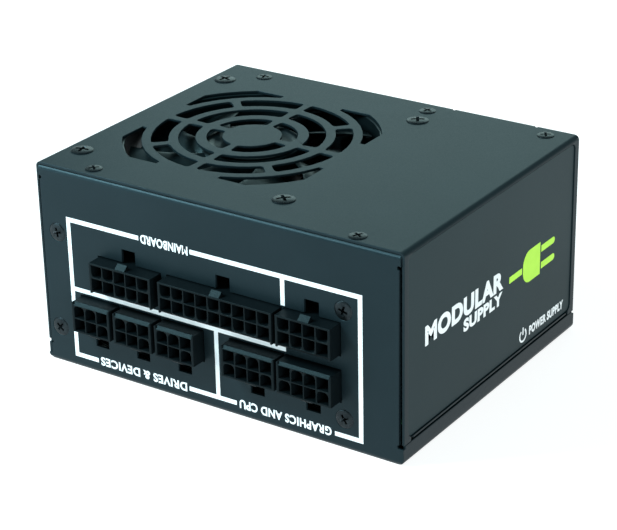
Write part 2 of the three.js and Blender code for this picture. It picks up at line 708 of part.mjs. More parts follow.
// One socket with its terminals, latch side up, centred on x = 0 and z = 0.
function socketBody(socket) {
  const halfW = socketLength(socket) / 2;
  const halfH = SOCKET_HEIGHT / 2;
  const columns = socket.cells[0].length;
  const cells = [];
  const terminals = [];
  socket.cells.forEach((row, r) => {
    const z = (0.5 - r) * PITCH + CELL_LIFT;
    for (let c = 0; c < columns; c += 1) {
      const x = (c - (columns - 1) / 2) * PITCH;
      const outline = cellOutline(x, z, row[c] === 'D');
      cells.push(slabXZ(outline, SOCKET_FRONT_Y - 1, SOCKET_FRONT_Y + CELL_DEPTH));
      terminals.push(box(x - TERMINAL / 2, x + TERMINAL / 2, TERMINAL_FRONT_Y,
        SOCKET_FRONT_Y + CELL_DEPTH + 1, z - TERMINAL / 2, z + TERMINAL / 2));
    }
  });
  const latchEnd = SOCKET_FRONT_Y + LATCH_LENGTH;
  const latch = slabYZ(polygon([
    [SOCKET_FRONT_Y + 0.1, halfH - 0.1], [latchEnd, halfH - 0.1],
    [latchEnd, halfH + LATCH_RISE], [latchEnd - 0.5, halfH + LATCH_RISE],
  ]), -LATCH_WIDTH / 2, LATCH_WIDTH / 2);
  const bevel = slabYZ(polygon([
    [SOCKET_FRONT_Y - 1, -halfH - 1], [SOCKET_FRONT_Y + LIP_BEVEL + 1, -halfH - 1],
    [SOCKET_FRONT_Y - 1, -halfH + LIP_BEVEL + 1],
  ]), LIP_RIB - halfW, halfW - LIP_RIB);
  const block = box(-halfW, halfW, SOCKET_FRONT_Y, SOCKET_REAR_Y, -halfH, halfH);
  return joined([cut(block.add(latch), [bevel, ...cells]), ...terminals]);
}

function addSockets() {
  for (const socket of SOCKETS) {
    const upper = socket.row === 'upper';
    const z = upper ? UPPER_ROW_Z : LOWER_ROW_Z;
    const body = socketBody(socket).rotate([0, upper ? 0 : 180, 0]).translate([socket.x, 0, z]);
    addPart(socket.name, body, blackPlastic);
  }
}

// The board that carries the sockets, with its four threaded standoffs.
function socketBoard() {
  const { x0, x1, z0, z1 } = SOCKET_BOARD;
  const y1 = SOCKET_BOARD_Y + BOARD_THICK;
  const board = slabXZ(roundedRectangle(x0, x1, z0, z1, 1), SOCKET_BOARD_Y, y1, 1);
  const standoffs = FRONT_SCREW_PLACES.map(
    ([x, z]) => rodAlongY(STANDOFF_RADIUS, x, z, FRONT_Y + 1.7, y1 - 0.2));
  const bores = FRONT_SCREW_PLACES.map(([x, z]) => rodAlongY(
    FRONT_SCREW.shank + SCREW_CLEARANCE, x, z, FRONT_Y, y1 + 1));
  return cut(joined([board, ...standoffs]), bores);
}

// ---- fan ----------------------------------------------------------------------------

function fanFrame() {
  const half = FAN_SIZE / 2;
  const outer = slabXY(roundedRectangle(-half, half, -half, half, 4), FAN_BASE_Z, FAN_TOP_Z);
  const bore = rod(FAN_BORE_RADIUS, FAN_BASE_Z - 1, FAN_TOP_Z + 1, 36);
  const offset = FAN_HOLE_OFFSET;
  const corners = [[-1, -1], [1, -1], [-1, 1], [1, 1]];
  const screwHole = rod(FAN_SCREW.shank + SCREW_CLEARANCE, FAN_BASE_Z - 1, FAN_TOP_Z + 1);
  const holes = corners.map(([i, j]) => screwHole.translate([i * offset, j * offset, 0]));
  const pockets = [0, 90, 180, 270].map((angle) => box(
    -14, 14, half - 1.2, half + 1, FAN_BASE_Z + 3.5, FAN_TOP_Z - 3.5).rotate([0, 0, angle]));
  const ring = cut(outer, [bore, ...holes, ...pockets]);
  const armTop = FAN_BASE_Z + 2.2;
  const arms = [0, 1, 2].map((i) => box(
    -2, 2, 10, FAN_BORE_RADIUS + 0.6, FAN_BASE_Z, armTop).rotate([0, 0, 20 + i * 120]));
  const base = rod(FAN_HUB_RADIUS, FAN_BASE_Z, armTop, 24);
  const tube = rod(3, FAN_BASE_Z, FAN_TOP_Z - 5, 16);
  const tubeBore = rod(1.75, FAN_BASE_Z + 0.8, FAN_TOP_Z + 1, 16);
  return cut(joined([ring, ...arms, base, tube]), [tubeBore]);
}

function fanStator() {
  const z0 = FAN_BASE_Z + 3.4;
  const z1 = FAN_BASE_Z + 8.4;
  const core = rod(5.2, z0, z1, 16);
  const poles = [0, 90, 180, 270].map((angle) => {
    const arm = box(-1.8, 1.8, 4, 10, z0, z1);
    const coil = box(-3, 3, 5.6, 8.8, z0 - 0.8, z1 + 0.8);
    const face = rod(11.6, z0, z1, 16).subtract(rod(9.6, z0 - 1, z1 + 1, 16));
    const wedge = box(-6.5, 6.5, 6, 12, z0 - 1, z1 + 1);
    return joined([arm, coil, face.intersect(wedge)]).rotate([0, 0, angle]);
  });
  return cut(joined([core, ...poles]), [rod(3.2, z0 - 1, z1 + 1, 16)]);
}

// One swept, pitched blade: a thin block bent along its radius and chord.
function fanBlade(angle) {
  const inner = FAN_HUB_RADIUS - 0.6;
  const outer = FAN_BORE_RADIUS - 1.2;
  const geometry = new THREE.BoxGeometry(1, 1, 1.3, 3, 3, 1);
  const position = geometry.attributes.position;
  for (let i = 0; i < position.count; i += 1) {
    const along = position.getX(i) + 0.5;
    const chord = position.getY(i);
    const radius = inner + (outer - inner) * along;
    const turn = angle + degrees(10 - 26 * along + chord * (38 - 4 * along));
    const camber = 1.1 * (1 - 4 * chord * chord);
    const z = position.getZ(i) + FAN_BASE_Z + 8 - chord * (8.6 - 1.6 * along) + camber;
    position.setXYZ(i, radius * Math.cos(turn), radius * Math.sin(turn), z);
  }
  return solid(geometry);
}

function fanRotor() {
  const top = FAN_TOP_Z - 1;
  const cup = turned([
    [1.6, top - 1.8], [FAN_HUB_RADIUS - 1.8, top - 1.8], [FAN_HUB_RADIUS - 1.8, FAN_BASE_Z + 3],
    [FAN_HUB_RADIUS, FAN_BASE_Z + 3], [FAN_HUB_RADIUS, top - 0.8], [FAN_HUB_RADIUS - 0.8, top],
    [1.6, top], [1.6, top - 1.8],
  ], 28);
  const blades = [];
  for (let i = 0; i < FAN_BLADES; i += 1) {
    blades.push(fanBlade((i * 2 * Math.PI) / FAN_BLADES));
  }
  return joined([cup, ...blades]);
}

function fanShaft() {
  return rod(1.5, FAN_BASE_Z + 1.2, FAN_TOP_Z - 1, 16);
}

// A round wire or sheath along a smooth path.
function wire(points, radius, steps, sides) {
  const path = new THREE.CatmullRomCurve3(points.map((p) => new THREE.Vector3(...p)));
  const section = new THREE.Shape();
  section.absarc(0, 0, radius, 0, 2 * Math.PI);
  return solid(new THREE.ExtrudeGeometry(section, {
    steps, extrudePath: path, curveSegments: sides, bevelEnabled: false,
  }));
}

function fanCable() {
  return wire([
    [-30, 15, 46.4], [-36, 26, 46.2], [-45, 36, 45.5], [-52, 39, 40],
    [-53.5, 38, 30], [-53, 36, 18], [-52, 35.5, 8.4],
  ], 1.1, 20, 4);
}

function addFan() {
  const place = (body) => body.translate([FAN_X, FAN_Y, 0]);
  addPart('fan_frame', place(fanFrame()), fanPlastic);
  addPart('fan_stator', place(fanStator()), copper);
  addPart('fan_rotor', place(fanRotor()), fanPlastic);
  addPart('fan_shaft', place(fanShaft()), steel);
  addPart('fan_cable', fanCable(), blackWire);
}

// ---- mains inlet and switch ---------------------------------------------------------

function inletHousing() {
  const { halfW, halfH, thick } = INLET_FLANGE;
  const flange = slabXZ(
    roundedRectangle(-halfW, halfW, -halfH, halfH, 2), REAR_Y, REAR_Y + thick);
  const body = slabXZ(roundedRectangle(
    -INLET_BODY.halfW, INLET_BODY.halfW, -INLET_BODY.halfH, INLET_BODY.halfH, 1.5),
  INLET_BODY.rearY, REAR_Y + 0.5, 1);
  const cavity = slabXZ(
    cutCornerRectangle(INLET_CAVITY.halfW, INLET_CAVITY.halfH, INLET_CAVITY.cut),
    INLET_CAVITY.floorY, REAR_Y + thick + 1);
  const gap = 0.1;
  const slots = Object.values(PIN_PLACES).map(([x, z]) => box(
    x - PIN.halfW - gap, x + PIN.halfW + gap, INLET_BODY.rearY - 1, INLET_CAVITY.floorY + 1,
    z - PIN.halfH - gap, z + PIN.halfH + gap));
  return cut(flange.add(body), [cavity, ...slots]).translate([INLET_X, 0, INLET_Z]);
}

// A flat blade with a bevelled tip and a narrower solder tab behind the housing.
function inletPin([x, z]) {
  const { halfW, halfH, tabY, tipY } = PIN;
  const blade = slabYZ(polygon([
    [tabY, -1.6], [INLET_BODY.rearY - 0.5, -1.6], [INLET_BODY.rearY - 0.5, -halfH],
    [tipY - 1, -halfH], [tipY, -halfH + 0.7], [tipY, halfH - 0.7], [tipY - 1, halfH],
    [INLET_BODY.rearY - 0.5, halfH], [INLET_BODY.rearY - 0.5, 1.6], [tabY, 1.6],
  ]), -halfW, halfW);
  return blade.translate([INLET_X + x, 0, INLET_Z + z]);
}

function switchHousing() {
  const bezel = slabXZ(roundedRectangle(
    -SWITCH_BEZEL.halfW, SWITCH_BEZEL.halfW, -SWITCH_BEZEL.halfH, SWITCH_BEZEL.halfH, 1.2),
  REAR_Y, REAR_Y + SWITCH_BEZEL.thick);
  const { halfW, halfH, rearY } = SWITCH_BODY;
  const body = box(-halfW, halfW, rearY, REAR_Y + 0.5, -halfH, halfH);
  const well = box(-SWITCH_WELL.halfW, SWITCH_WELL.halfW, SWITCH_WELL.floorY,
    REAR_Y + SWITCH_BEZEL.thick + 1, -SWITCH_WELL.halfH, SWITCH_WELL.halfH);
  const pivot = rod(1.5, -halfW - 1, halfW + 1, 16).rotate([0, 90, 0])
    .translate([0, ROCKER_AXIS_Y, 0]);
  const tabs = [-5, 5].map((z) => box(-2.4, 2.4, rearY - 7, rearY + 1, z - 0.4, z + 0.4));
  return joined([cut(bezel.add(body), [well, pivot]), ...tabs])
    .translate([SWITCH_X, 0, SWITCH_Z]);
}

// The rocker, drawn level and then tipped to its rest position, upper half pressed in.
function switchRocker() {
  const profile = polygon([
    [-2.4, -1.4], [-0.4, -7.4], [3.4, -7.5], [2.9, -6.6], [2.2, 0],
    [2.9, 6.6], [3.4, 7.5], [-0.4, 7.4], [-2.4, 1.4],
  ]);
  const paddle = slabYZ(profile, -5.1, 5.1);
  const pivot = rod(1.2, -6, 6, 16).rotate([0, 90, 0]);
  return paddle.add(pivot).rotate([ROCKER_TILT, 0, 0])
    .translate([SWITCH_X, ROCKER_AXIS_Y, SWITCH_Z]);
}

function mainsLead(x) {
  const z = INLET_Z + PIN_PLACES.live[1];
  return wire([
    [x, PIN.tabY - 0.4, z], [x, PIN.tabY - 3, z], [x - 1, PIN.tabY - 5, z - 3],
    [x - 1.5, PIN.tabY - 5.5, BOARD_TOP + 0.3],
  ], 1.1, 10, 4);
}

function addRearFittings() {
  addPart('inlet_housing', inletHousing(), blackPlastic);
  addPart('inlet_pin_live', inletPin(PIN_PLACES.live), nickel);
  addPart('inlet_pin_neutral', inletPin(PIN_PLACES.neutral), nickel);
  addPart('inlet_pin_earth', inletPin(PIN_PLACES.earth), nickel);
  addPart('switch_housing', switchHousing(), blackPlastic);
  addPart('switch_rocker', switchRocker(), blackPlastic);
  addPart('mains_lead_live', mainsLead(INLET_X + PIN_PLACES.live[0]), brownWire);
  addPart('mains_lead_neutral', mainsLead(INLET_X + PIN_PLACES.neutral[0]), blueWire);
}

// ---- boards and what stands on them -------------------------------------------------

function mainBoard() {
  const { halfW, y0, y1 } = MAIN_BOARD;
  const board = slabXY(roundedRectangle(-halfW, halfW, y0, y1, 1), BOARD_Z, BOARD_TOP, 1);
  const hole = rod(BOARD_SCREW.shank + SCREW_CLEARANCE, 0, 20, 12);
  return cut(board, BOARD_SCREW_PLACES.map(([x, y]) => hole.translate([x, y, 0])));
}

// A small upright board with its chips on one face.
function controllerBoard() {
  const { x0, x1, y0, y1, height } = CONTROLLER_BOARD;
  const board = box(x0, x1, y0, y1, BOARD_TOP, BOARD_TOP + height);
  const chips = [[-19, 12, 4], [-9, 10, 5], [1, 13, 3]].map(([x, z, half]) => box(
    x - half, x + half, y1 - 0.2, y1 + 1.4, BOARD_TOP + z - 2.5, BOARD_TOP + z + 2.5));
  return joined([board, ...chips]);
}

// An electrolytic can with its rolled groove and rounded top edge.
function canCapacitor({ x, y, radius, height }) {
  const top = BOARD_TOP + height;
  return turned([
    [0, BOARD_TOP], [radius, BOARD_TOP], [radius, BOARD_TOP + 2], [radius * 0.92, BOARD_TOP + 2.8],
    [radius, BOARD_TOP + 3.6], [radius, top - 1], [radius - 1, top], [0, top],
  ], 16).translate([x, y, 0]);
}

// A wound ring core lying flat.
function ringChoke({ x, y, outer, inner, height }) {
  const z0 = BOARD_TOP + 0.2;
  const z1 = z0 + height;
  const edge = height * 0.25;
  return turned([
    [inner, z0 + edge], [inner + edge, z0], [outer - edge, z0], [outer, z0 + edge],
    [outer, z1 - edge], [outer - edge, z1], [inner + edge, z1], [inner, z1 - edge],
    [inner, z0 + edge],
  ], 16).translate([x, y, 0]);
}

// A window-frame ferrite core with a middle leg, standing across X.
function transformerCore() {
  const z0 = BOARD_TOP + 2;
  const z1 = z0 + 30;
  const outer = box(-17.5, 17.5, -6, 6, z0, z1);
  const windows = [[-12.5, -5.5], [5.5, 12.5]].map(([x0, x1]) => box(
    x0, x1, -7, 7, z0 + 5, z1 - 5));
  return cut(outer, windows).translate([TRANSFORMER.x, TRANSFORMER.y, 0]);
}

function transformerWinding() {
  const z0 = BOARD_TOP + 7.4;
  const z1 = z0 + 19.2;
  const outer = slabXY(roundedRectangle(-12.1, 12.1, -13, 13, 5), z0, z1);
  const leg = box(-5.9, 5.9, -6.4, 6.4, z0 - 1, z1 + 1);
  return outer.subtract(leg).translate([TRANSFORMER.x, TRANSFORMER.y, 0]);
}

// An extruded heatsink: a back plate with upright fins on one side.
function heatsink({ x, y: middle, length, height, fins }) {
  const half = length / 2;
  const points = [[0, -half], [2.4, -half], [2.4, half], [0, half]];
  const z0 = BOARD_TOP + 0.4;
  const plate = slabXY(polygon(points), z0, z0 + height);
  const blades = [];
  for (let i = 0; i < fins; i += 1) {
    const y = -half + ((i + 0.5) * length) / fins;
    blades.push(box(-5.6, 0.2, y - 0.5, y + 0.5, z0, z0 + height));
  }
  return joined([plate, ...blades]).translate([x, middle, 0]);
}

function standbyTransformer() {
  const core = box(-8, 8, -3, 3, BOARD_TOP + 2, BOARD_TOP + 16);
  const winding = slabXY(roundedRectangle(-5, 5, -7, 7, 2), BOARD_TOP + 4, BOARD_TOP + 14, 1);
  const foot = box(-8, 8, -7, 7, BOARD_TOP, BOARD_TOP + 2.5);
  return joined([core, winding, foot])
    .translate([STANDBY_TRANSFORMER.x, STANDBY_TRANSFORMER.y, 0]);
}

function addBoards() {
  addPart('insulation_sheet', insulationSheet(), clearFilm);
  addPart('main_board', mainBoard(), boardGreen);
  addPart('socket_board', socketBoard(), boardBlack);
  addPart('controller_board', controllerBoard(), boardGreen);
  addPart('bulk_capacitor', canCapacitor(BULK_CAPACITOR), sleeve);
  OUTPUT_CAPACITORS.forEach((sizes, i) => {
    addPart(`output_capacitor_${i + 1}`, canCapacitor(sizes), sleeve);
  });
  addPart('pfc_choke', ringChoke(PFC_CHOKE), copper);
  addPart('common_mode_choke', ringChoke(COMMON_MODE_CHOKE), copper);
  addPart('output_choke', ringChoke(OUTPUT_CHOKE), greenCoat);
  addPart('transformer_core', transformerCore(), ferrite);
  addPart('transformer_winding', transformerWinding(), yellowTape);
  addPart('primary_heatsink', heatsink(PRIMARY_HEATSINK), aluminium);
  addPart('secondary_heatsink', heatsink(SECONDARY_HEATSINK), aluminium);
  addPart('bridge_rectifier', box(20, 23.6, -8, 17, 14, 32), blackEpoxy);
  addPart('standby_transformer', standbyTransformer(), yellowTape);
  addPart('x_capacitor', box(8.5, 16.5, 26, 44, BOARD_TOP, BOARD_TOP + 15), yellowBox);
  addPart('relay', box(-28.5, -12.5, 28, 38, BOARD_TOP, BOARD_TOP + 15), blueBox);
}

// ---- assembly -----------------------------------------------------------------------

addPart('top_cover', topCover(), powderCoat);
addPart('lower_chassis', lowerChassis(), powderCoat);
addPart('side_label', sideLabel(), labelFilm);
addScrews();
addSockets();
addFan();
addRearFittings();
addBoards();

export default group;
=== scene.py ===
"""Looks, light and camera for a small modular computer power supply.

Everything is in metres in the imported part's frame: X across, output sockets at -Y, +Z up.
Lengths written in the tables below are in millimetres.
"""

import json
import math

import bmesh
import bpy
from mathutils import Matrix, Vector

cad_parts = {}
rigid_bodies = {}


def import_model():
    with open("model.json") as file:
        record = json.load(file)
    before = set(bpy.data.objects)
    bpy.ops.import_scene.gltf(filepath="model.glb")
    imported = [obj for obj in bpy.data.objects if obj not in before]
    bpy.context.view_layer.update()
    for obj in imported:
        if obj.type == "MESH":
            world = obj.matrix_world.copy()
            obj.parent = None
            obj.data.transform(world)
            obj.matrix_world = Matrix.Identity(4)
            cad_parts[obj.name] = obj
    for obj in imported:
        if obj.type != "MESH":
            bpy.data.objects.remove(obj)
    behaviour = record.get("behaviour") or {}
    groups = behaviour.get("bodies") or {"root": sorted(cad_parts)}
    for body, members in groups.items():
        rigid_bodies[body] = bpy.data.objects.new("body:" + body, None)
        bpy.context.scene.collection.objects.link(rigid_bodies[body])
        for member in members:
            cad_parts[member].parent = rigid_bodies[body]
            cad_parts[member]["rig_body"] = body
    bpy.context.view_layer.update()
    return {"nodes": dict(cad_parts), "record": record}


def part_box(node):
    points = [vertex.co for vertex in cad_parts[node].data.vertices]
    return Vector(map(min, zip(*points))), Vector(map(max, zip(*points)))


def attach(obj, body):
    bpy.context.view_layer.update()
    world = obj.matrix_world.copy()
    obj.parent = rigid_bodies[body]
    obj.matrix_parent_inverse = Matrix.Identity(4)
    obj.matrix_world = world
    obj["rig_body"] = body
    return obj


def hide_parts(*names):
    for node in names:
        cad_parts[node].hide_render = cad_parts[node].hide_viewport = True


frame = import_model()
nodes = frame["nodes"]
slot_of = {part["node"]: part["material_slot"] for part in frame["record"]["subparts"]}

MM = 0.001
TOP_Z = 63.5
FRONT_Y = -50.0
LABEL_X = 62.2


def mm(*values):
    """A point given in millimetres, in metres."""
    return Vector(values) * MM


# ---- materials ----------------------------------------------------------------------


def add_node(tree, kind, **inputs):
    """A new node of a material's tree, with the given values in its inputs."""
    node = tree.nodes.new(kind)
    for key, value in inputs.items():
        node.inputs[key].default_value = value
    return node


def noise(tree, coordinates, size, detail, stretch):
    """Noise whose features are about size millimetres across."""
    mapping = add_node(tree, "ShaderNodeMapping", Scale=stretch)
    texture = add_node(tree, "ShaderNodeTexNoise", Scale=1 / (size * MM), Detail=detail)
    tree.links.new(coordinates, mapping.inputs["Vector"])
    tree.links.new(mapping.outputs["Vector"], texture.inputs["Vector"])
    return texture.outputs["Fac"]


def surface(name, dark, light, rough, patch=14.0, grain=0.5, share=0.35, depth=0.0,
            metal=0.0, specular=0.5, stretch=(1, 1, 1), bands=None, tint=(1, 1, 1)):
    """A finish whose colour, roughness and relief vary in broad patches and in a fine grain.

    bands is (axis, width in millimetres, depth) for ribbed tape. Lengths are in millimetres.
    """
    material = bpy.data.materials.new(name)
    material.use_nodes = True
    tree = material.node_tree
    shader = tree.nodes["Principled BSDF"]
    shader.inputs["Metallic"].default_value = metal
    shader.inputs["Specular IOR Level"].default_value = specular
    shader.inputs["Specular Tint"].default_value = (*tint, 1)
    coordinates = tree.nodes.new("ShaderNodeTexCoord").outputs["Object"]
    broad = noise(tree, coordinates, patch, 3.0, (1, 1, 1))
    fine = noise(tree, coordinates, grain, 2.0, stretch)
    blend = add_node(tree, "ShaderNodeMix", Factor=share)
    tree.links.new(broad, blend.inputs["A"])
    tree.links.new(fine, blend.inputs["B"])
    ramp = tree.nodes.new("ShaderNodeValToRGB")
    ramp.color_ramp.elements[0].position = 0.36
    ramp.color_ramp.elements[0].color = (*dark, 1)
    ramp.color_ramp.elements[1].position = 0.64
    ramp.color_ramp.elements[1].color = (*light, 1)
    tree.links.new(blend.outputs["Result"], ramp.inputs["Fac"])
    tree.links.new(ramp.outputs["Color"], shader.inputs["Base Color"])
    spread = tree.nodes.new("ShaderNodeMapRange")
    spread.inputs["From Min"].default_value = 0.3
    spread.inputs["From Max"].default_value = 0.7
    spread.inputs["To Min"].default_value = rough[0]
    spread.inputs["To Max"].default_value = rough[1]
    tree.links.new(fine, spread.inputs["Value"])
    tree.links.new(spread.outputs["Result"], shader.inputs["Roughness"])
    height, distance = fine, depth
    if bands:
        axis, width, distance = bands
        wave = tree.nodes.new("ShaderNodeTexWave")
        wave.bands_direction = axis
        wave.inputs["Scale"].default_value = 1 / (width * MM) / 6.366
        tree.links.new(coordinates, wave.inputs["Vector"])
        height = wave.outputs["Fac"]
    if distance:
        bump = tree.nodes.new("ShaderNodeBump")
        bump.inputs["Distance"].default_value = distance * MM
        tree.links.new(height, bump.inputs["Height"])
        tree.links.new(bump.outputs["Normal"], shader.inputs["Normal"])
    return material


def board(name, mask, track):
    """Solder mask over copper tracks that show as slightly lighter, raised lines."""
    material = surface(name, mask, mask, (0.3, 0.4), grain=1.2)
    tree = material.node_tree
    shader = tree.nodes["Principled BSDF"]
    coordinates = tree.nodes.new("ShaderNodeTexCoord").outputs["Object"]
    bricks = tree.nodes.new("ShaderNodeTexBrick")
    bricks.inputs["Scale"].default_value = 160.0
    bricks.inputs["Mortar Size"].default_value = 0.03
    bricks.inputs["Color1"].default_value = (*mask, 1)
    bricks.inputs["Color2"].default_value = (*(0.85 * c for c in mask), 1)
    bricks.inputs["Mortar"].default_value = (*track, 1)
    tree.links.new(coordinates, bricks.inputs["Vector"])
    tree.links.new(bricks.outputs["Color"], shader.inputs["Base Color"])
    bump = tree.nodes.new("ShaderNodeBump")
    bump.inputs["Distance"].default_value = 0.05 * MM
    tree.links.new(bricks.outputs["Fac"], bump.inputs["Height"])
    tree.links.new(bump.outputs["Normal"], shader.inputs["Normal"])
    return material


finishes = {
    "powder_coat": surface(
        "powder_coat", (0.0052, 0.0102, 0.0125), (0.0074, 0.0134, 0.0164), (0.36, 0.46),
        patch=22, grain=0.3, share=0.45, depth=0.012, specular=0.17, tint=(0.56, 0.88, 1.0)),
    "label_film": surface(
        "label_film", (0.002, 0.010, 0.0125), (0.003, 0.0125, 0.0155), (0.40, 0.48),
        patch=30, grain=0.25, depth=0.004, specular=0.2, tint=(0.45, 0.92, 1.0)),
    "black_screw": surface(
        "black_screw", (0.009, 0.013, 0.015), (0.024, 0.031, 0.035), (0.22, 0.36),
        patch=3, grain=0.3, depth=0.01, metal=0.9),
    "zinc_screw": surface(
        "zinc_screw", (0.45, 0.47, 0.5), (0.58, 0.6, 0.62), (0.25, 0.4),
        patch=3, grain=0.4, depth=0.01, metal=1.0),
    "socket_plastic": surface(
        "socket_plastic", (0.0020, 0.0036, 0.0045), (0.0030, 0.0050, 0.0060), (0.42, 0.52),
        patch=6, grain=0.35, depth=0.01, specular=0.09, tint=(0.6, 0.92, 1.0)),
    "fan_plastic": surface(
        "fan_plastic", (0.0025, 0.0048, 0.0056), (0.0040, 0.0070, 0.0080), (0.28, 0.38),
        patch=9, grain=0.6, depth=0.01, specular=0.32, tint=(0.6, 0.95, 1.0)),
    "copper_winding": surface(
        "copper_winding", (0.38, 0.12, 0.045), (0.52, 0.18, 0.065), (0.2, 0.34),
        patch=5, grain=0.6, metal=0.85, depth=0.02),
    "shaft_steel": surface(
        "shaft_steel", (0.42, 0.43, 0.44), (0.52, 0.53, 0.54), (0.16, 0.28),
        grain=0.3, metal=1.0, stretch=(1, 1, 12), depth=0.004),
    "black_wire": surface(
        "black_wire", (0.010, 0.010, 0.011), (0.016, 0.016, 0.017), (0.4, 0.55),
        patch=6, grain=0.5, depth=0.02),
    "inlet_plastic": surface(
        "inlet_plastic", (0.0075, 0.0078, 0.0082), (0.0105, 0.0110, 0.0115), (0.38, 0.5),
        patch=8, grain=0.3, depth=0.012),
    "nickel_pin": surface(
        "nickel_pin", (0.52, 0.49, 0.42), (0.62, 0.58, 0.5), (0.18, 0.3),
        patch=4, grain=0.4, metal=1.0, stretch=(1, 0.1, 1), depth=0.006),
    "switch_plastic": surface(
        "switch_plastic", (0.0065, 0.0068, 0.0072), (0.0092, 0.0095, 0.0100), (0.24, 0.34),
        patch=7, grain=0.5, depth=0.008),
    "brown_wire": surface(
        "brown_wire", (0.075, 0.028, 0.012), (0.10, 0.038, 0.017), (0.35, 0.5),
        patch=5, grain=0.5, depth=0.015),
    "blue_wire": surface(
        "blue_wire", (0.012, 0.045, 0.21), (0.018, 0.06, 0.27), (0.35, 0.5),
        patch=5, grain=0.5, depth=0.015),
    "insulation_film": surface(
        "insulation_film", (0.010, 0.011, 0.013), (0.016, 0.017, 0.020), (0.22, 0.36),
        patch=18, grain=1.5, depth=0.03),
    "board_green": board("board_green", (0.010, 0.085, 0.035), (0.03, 0.15, 0.06)),
    "board_black": board("board_black", (0.006, 0.007, 0.008), (0.02, 0.022, 0.022)),
    "capacitor_sleeve": surface(
        "capacitor_sleeve", (0.008, 0.010, 0.022), (0.012, 0.014, 0.030), (0.22, 0.32),
        patch=8, grain=0.8, depth=0.02),
    "green_coating": surface(
        "green_coating", (0.03, 0.12, 0.06), (0.05, 0.17, 0.08), (0.4, 0.55),
        patch=4, grain=0.5, depth=0.03),
    "ferrite": surface(
        "ferrite", (0.028, 0.029, 0.031), (0.045, 0.046, 0.048), (0.6, 0.8),
        patch=4, grain=0.25, depth=0.03),
    "winding_tape": surface(
        "winding_tape", (0.58, 0.40, 0.03), (0.68, 0.48, 0.045), (0.3, 0.42),
        patch=7, grain=0.8, bands=("Z", 3.0, 0.12)),
    "bare_aluminium": surface(
        "bare_aluminium", (0.50, 0.51, 0.52), (0.62, 0.63, 0.64), (0.28, 0.46),
        patch=10, grain=0.35, metal=1.0, stretch=(1, 1, 0.06), depth=0.01),
    "black_epoxy": surface(
        "black_epoxy", (0.012, 0.012, 0.013), (0.018, 0.018, 0.019), (0.5, 0.65),
        patch=5, grain=0.3, depth=0.02),
    "yellow_box": surface(
        "yellow_box", (0.66, 0.44, 0.04), (0.74, 0.51, 0.06), (0.3, 0.42),
        patch=9, grain=0.6, depth=0.015),
    "blue_box": surface(
        "blue_box", (0.02, 0.07, 0.22), (0.03, 0.09, 0.27), (0.3, 0.42),
        patch=9, grain=0.6, depth=0.015),
}
white_ink = surface(
    "white_ink", (0.80, 0.81, 0.82), (0.88, 0.89, 0.90), (0.45, 0.6),
    patch=6, grain=0.25, depth=0.006)
lime_ink = surface(
    "lime_ink", (0.42, 0.76, 0.035), (0.48, 0.84, 0.05), (0.45, 0.6),
    patch=6, grain=0.25, depth=0.006)
terminal_metal = surface(
    "terminal_metal", (0.06, 0.055, 0.044), (0.10, 0.09, 0.07), (0.3, 0.45),
    patch=2, grain=0.3, metal=1.0, depth=0.006)


# ---- making pieces ------------------------------------------------------------------


def add_object(name, mesh, *materials):
    piece = bpy.data.objects.new(name, mesh)
    bpy.context.scene.collection.objects.link(piece)
    for material in materials:
        mesh.materials.append(material)
    return piece


def from_bmesh(name, bm, *materials):
    """A piece made from a bmesh, its faces turned outward."""
    bmesh.ops.recalc_face_normals(bm, faces=bm.faces)
    mesh = bpy.data.meshes.new(name)
    bm.to_mesh(mesh)
    bm.free()
    return add_object(name, mesh, *materials)


def apply_modifiers(piece):
    """Puts the modifiers' result in the mesh."""
    shown = piece.evaluated_get(bpy.context.evaluated_depsgraph_get())
    mesh = bpy.data.meshes.new_from_object(shown)
    piece.modifiers.clear()
    piece.data = mesh


def shade_smooth(piece, sharp=35):
    mesh = piece.data
    mesh.polygons.foreach_set("use_smooth", [True] * len(mesh.polygons))
    mesh.set_sharp_from_angle(angle=math.radians(sharp))


def soften_edges(piece, width, segments=2, angle=30):
    """Rounds the edges sharper than angle to width millimetres, and keeps the faces flat."""
    piece.data.polygons.foreach_set("use_smooth", [True] * len(piece.data.polygons))
    bevel = piece.modifiers.new("edges", "BEVEL")
    bevel.width = width * MM
    bevel.segments = segments
    bevel.limit_method = "ANGLE"
    bevel.angle_limit = math.radians(angle)
    bevel.use_clamp_overlap = False
    weighted = piece.modifiers.new("flat faces", "WEIGHTED_NORMAL")
    weighted.weight = 100
    weighted.thresh = 1.0
    apply_modifiers(piece)


def stand_for(piece, body, *cad_nodes):
    """Puts a piece on its body in the place of CAD nodes, which are hidden."""
    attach(piece, body)
    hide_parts(*cad_nodes)
    return piece


def body_of(node):
    return nodes[node]["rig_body"]


def refined(node, suffix, width, segments=2):
    """A CAD node's own shape with its edges rounded as made."""
    source = nodes[node].data
    bm = bmesh.new()
    for vertex in source.vertices:
        bm.verts.new(vertex.co)
    bm.verts.ensure_lookup_table()
    for polygon in source.polygons:
        bm.faces.new([bm.verts[i] for i in polygon.vertices])
    bmesh.ops.remove_doubles(bm, verts=bm.verts, dist=0.002 * MM)
    bmesh.ops.dissolve_degenerate(bm, edges=bm.edges, dist=0.002 * MM)
    piece = from_bmesh(f"{node}_{suffix}", bm, finishes[slot_of[node]])
    soften_edges(piece, width, segments)
    # A rounded edge can bulge a little past its faces, so it is kept in the CAD node's box.
    low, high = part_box(node)
    for vertex in piece.data.vertices:
        vertex.co = [min(max(c, a), b) for c, a, b in zip(vertex.co, low, high)]
    return stand_for(piece, body_of(node), node)


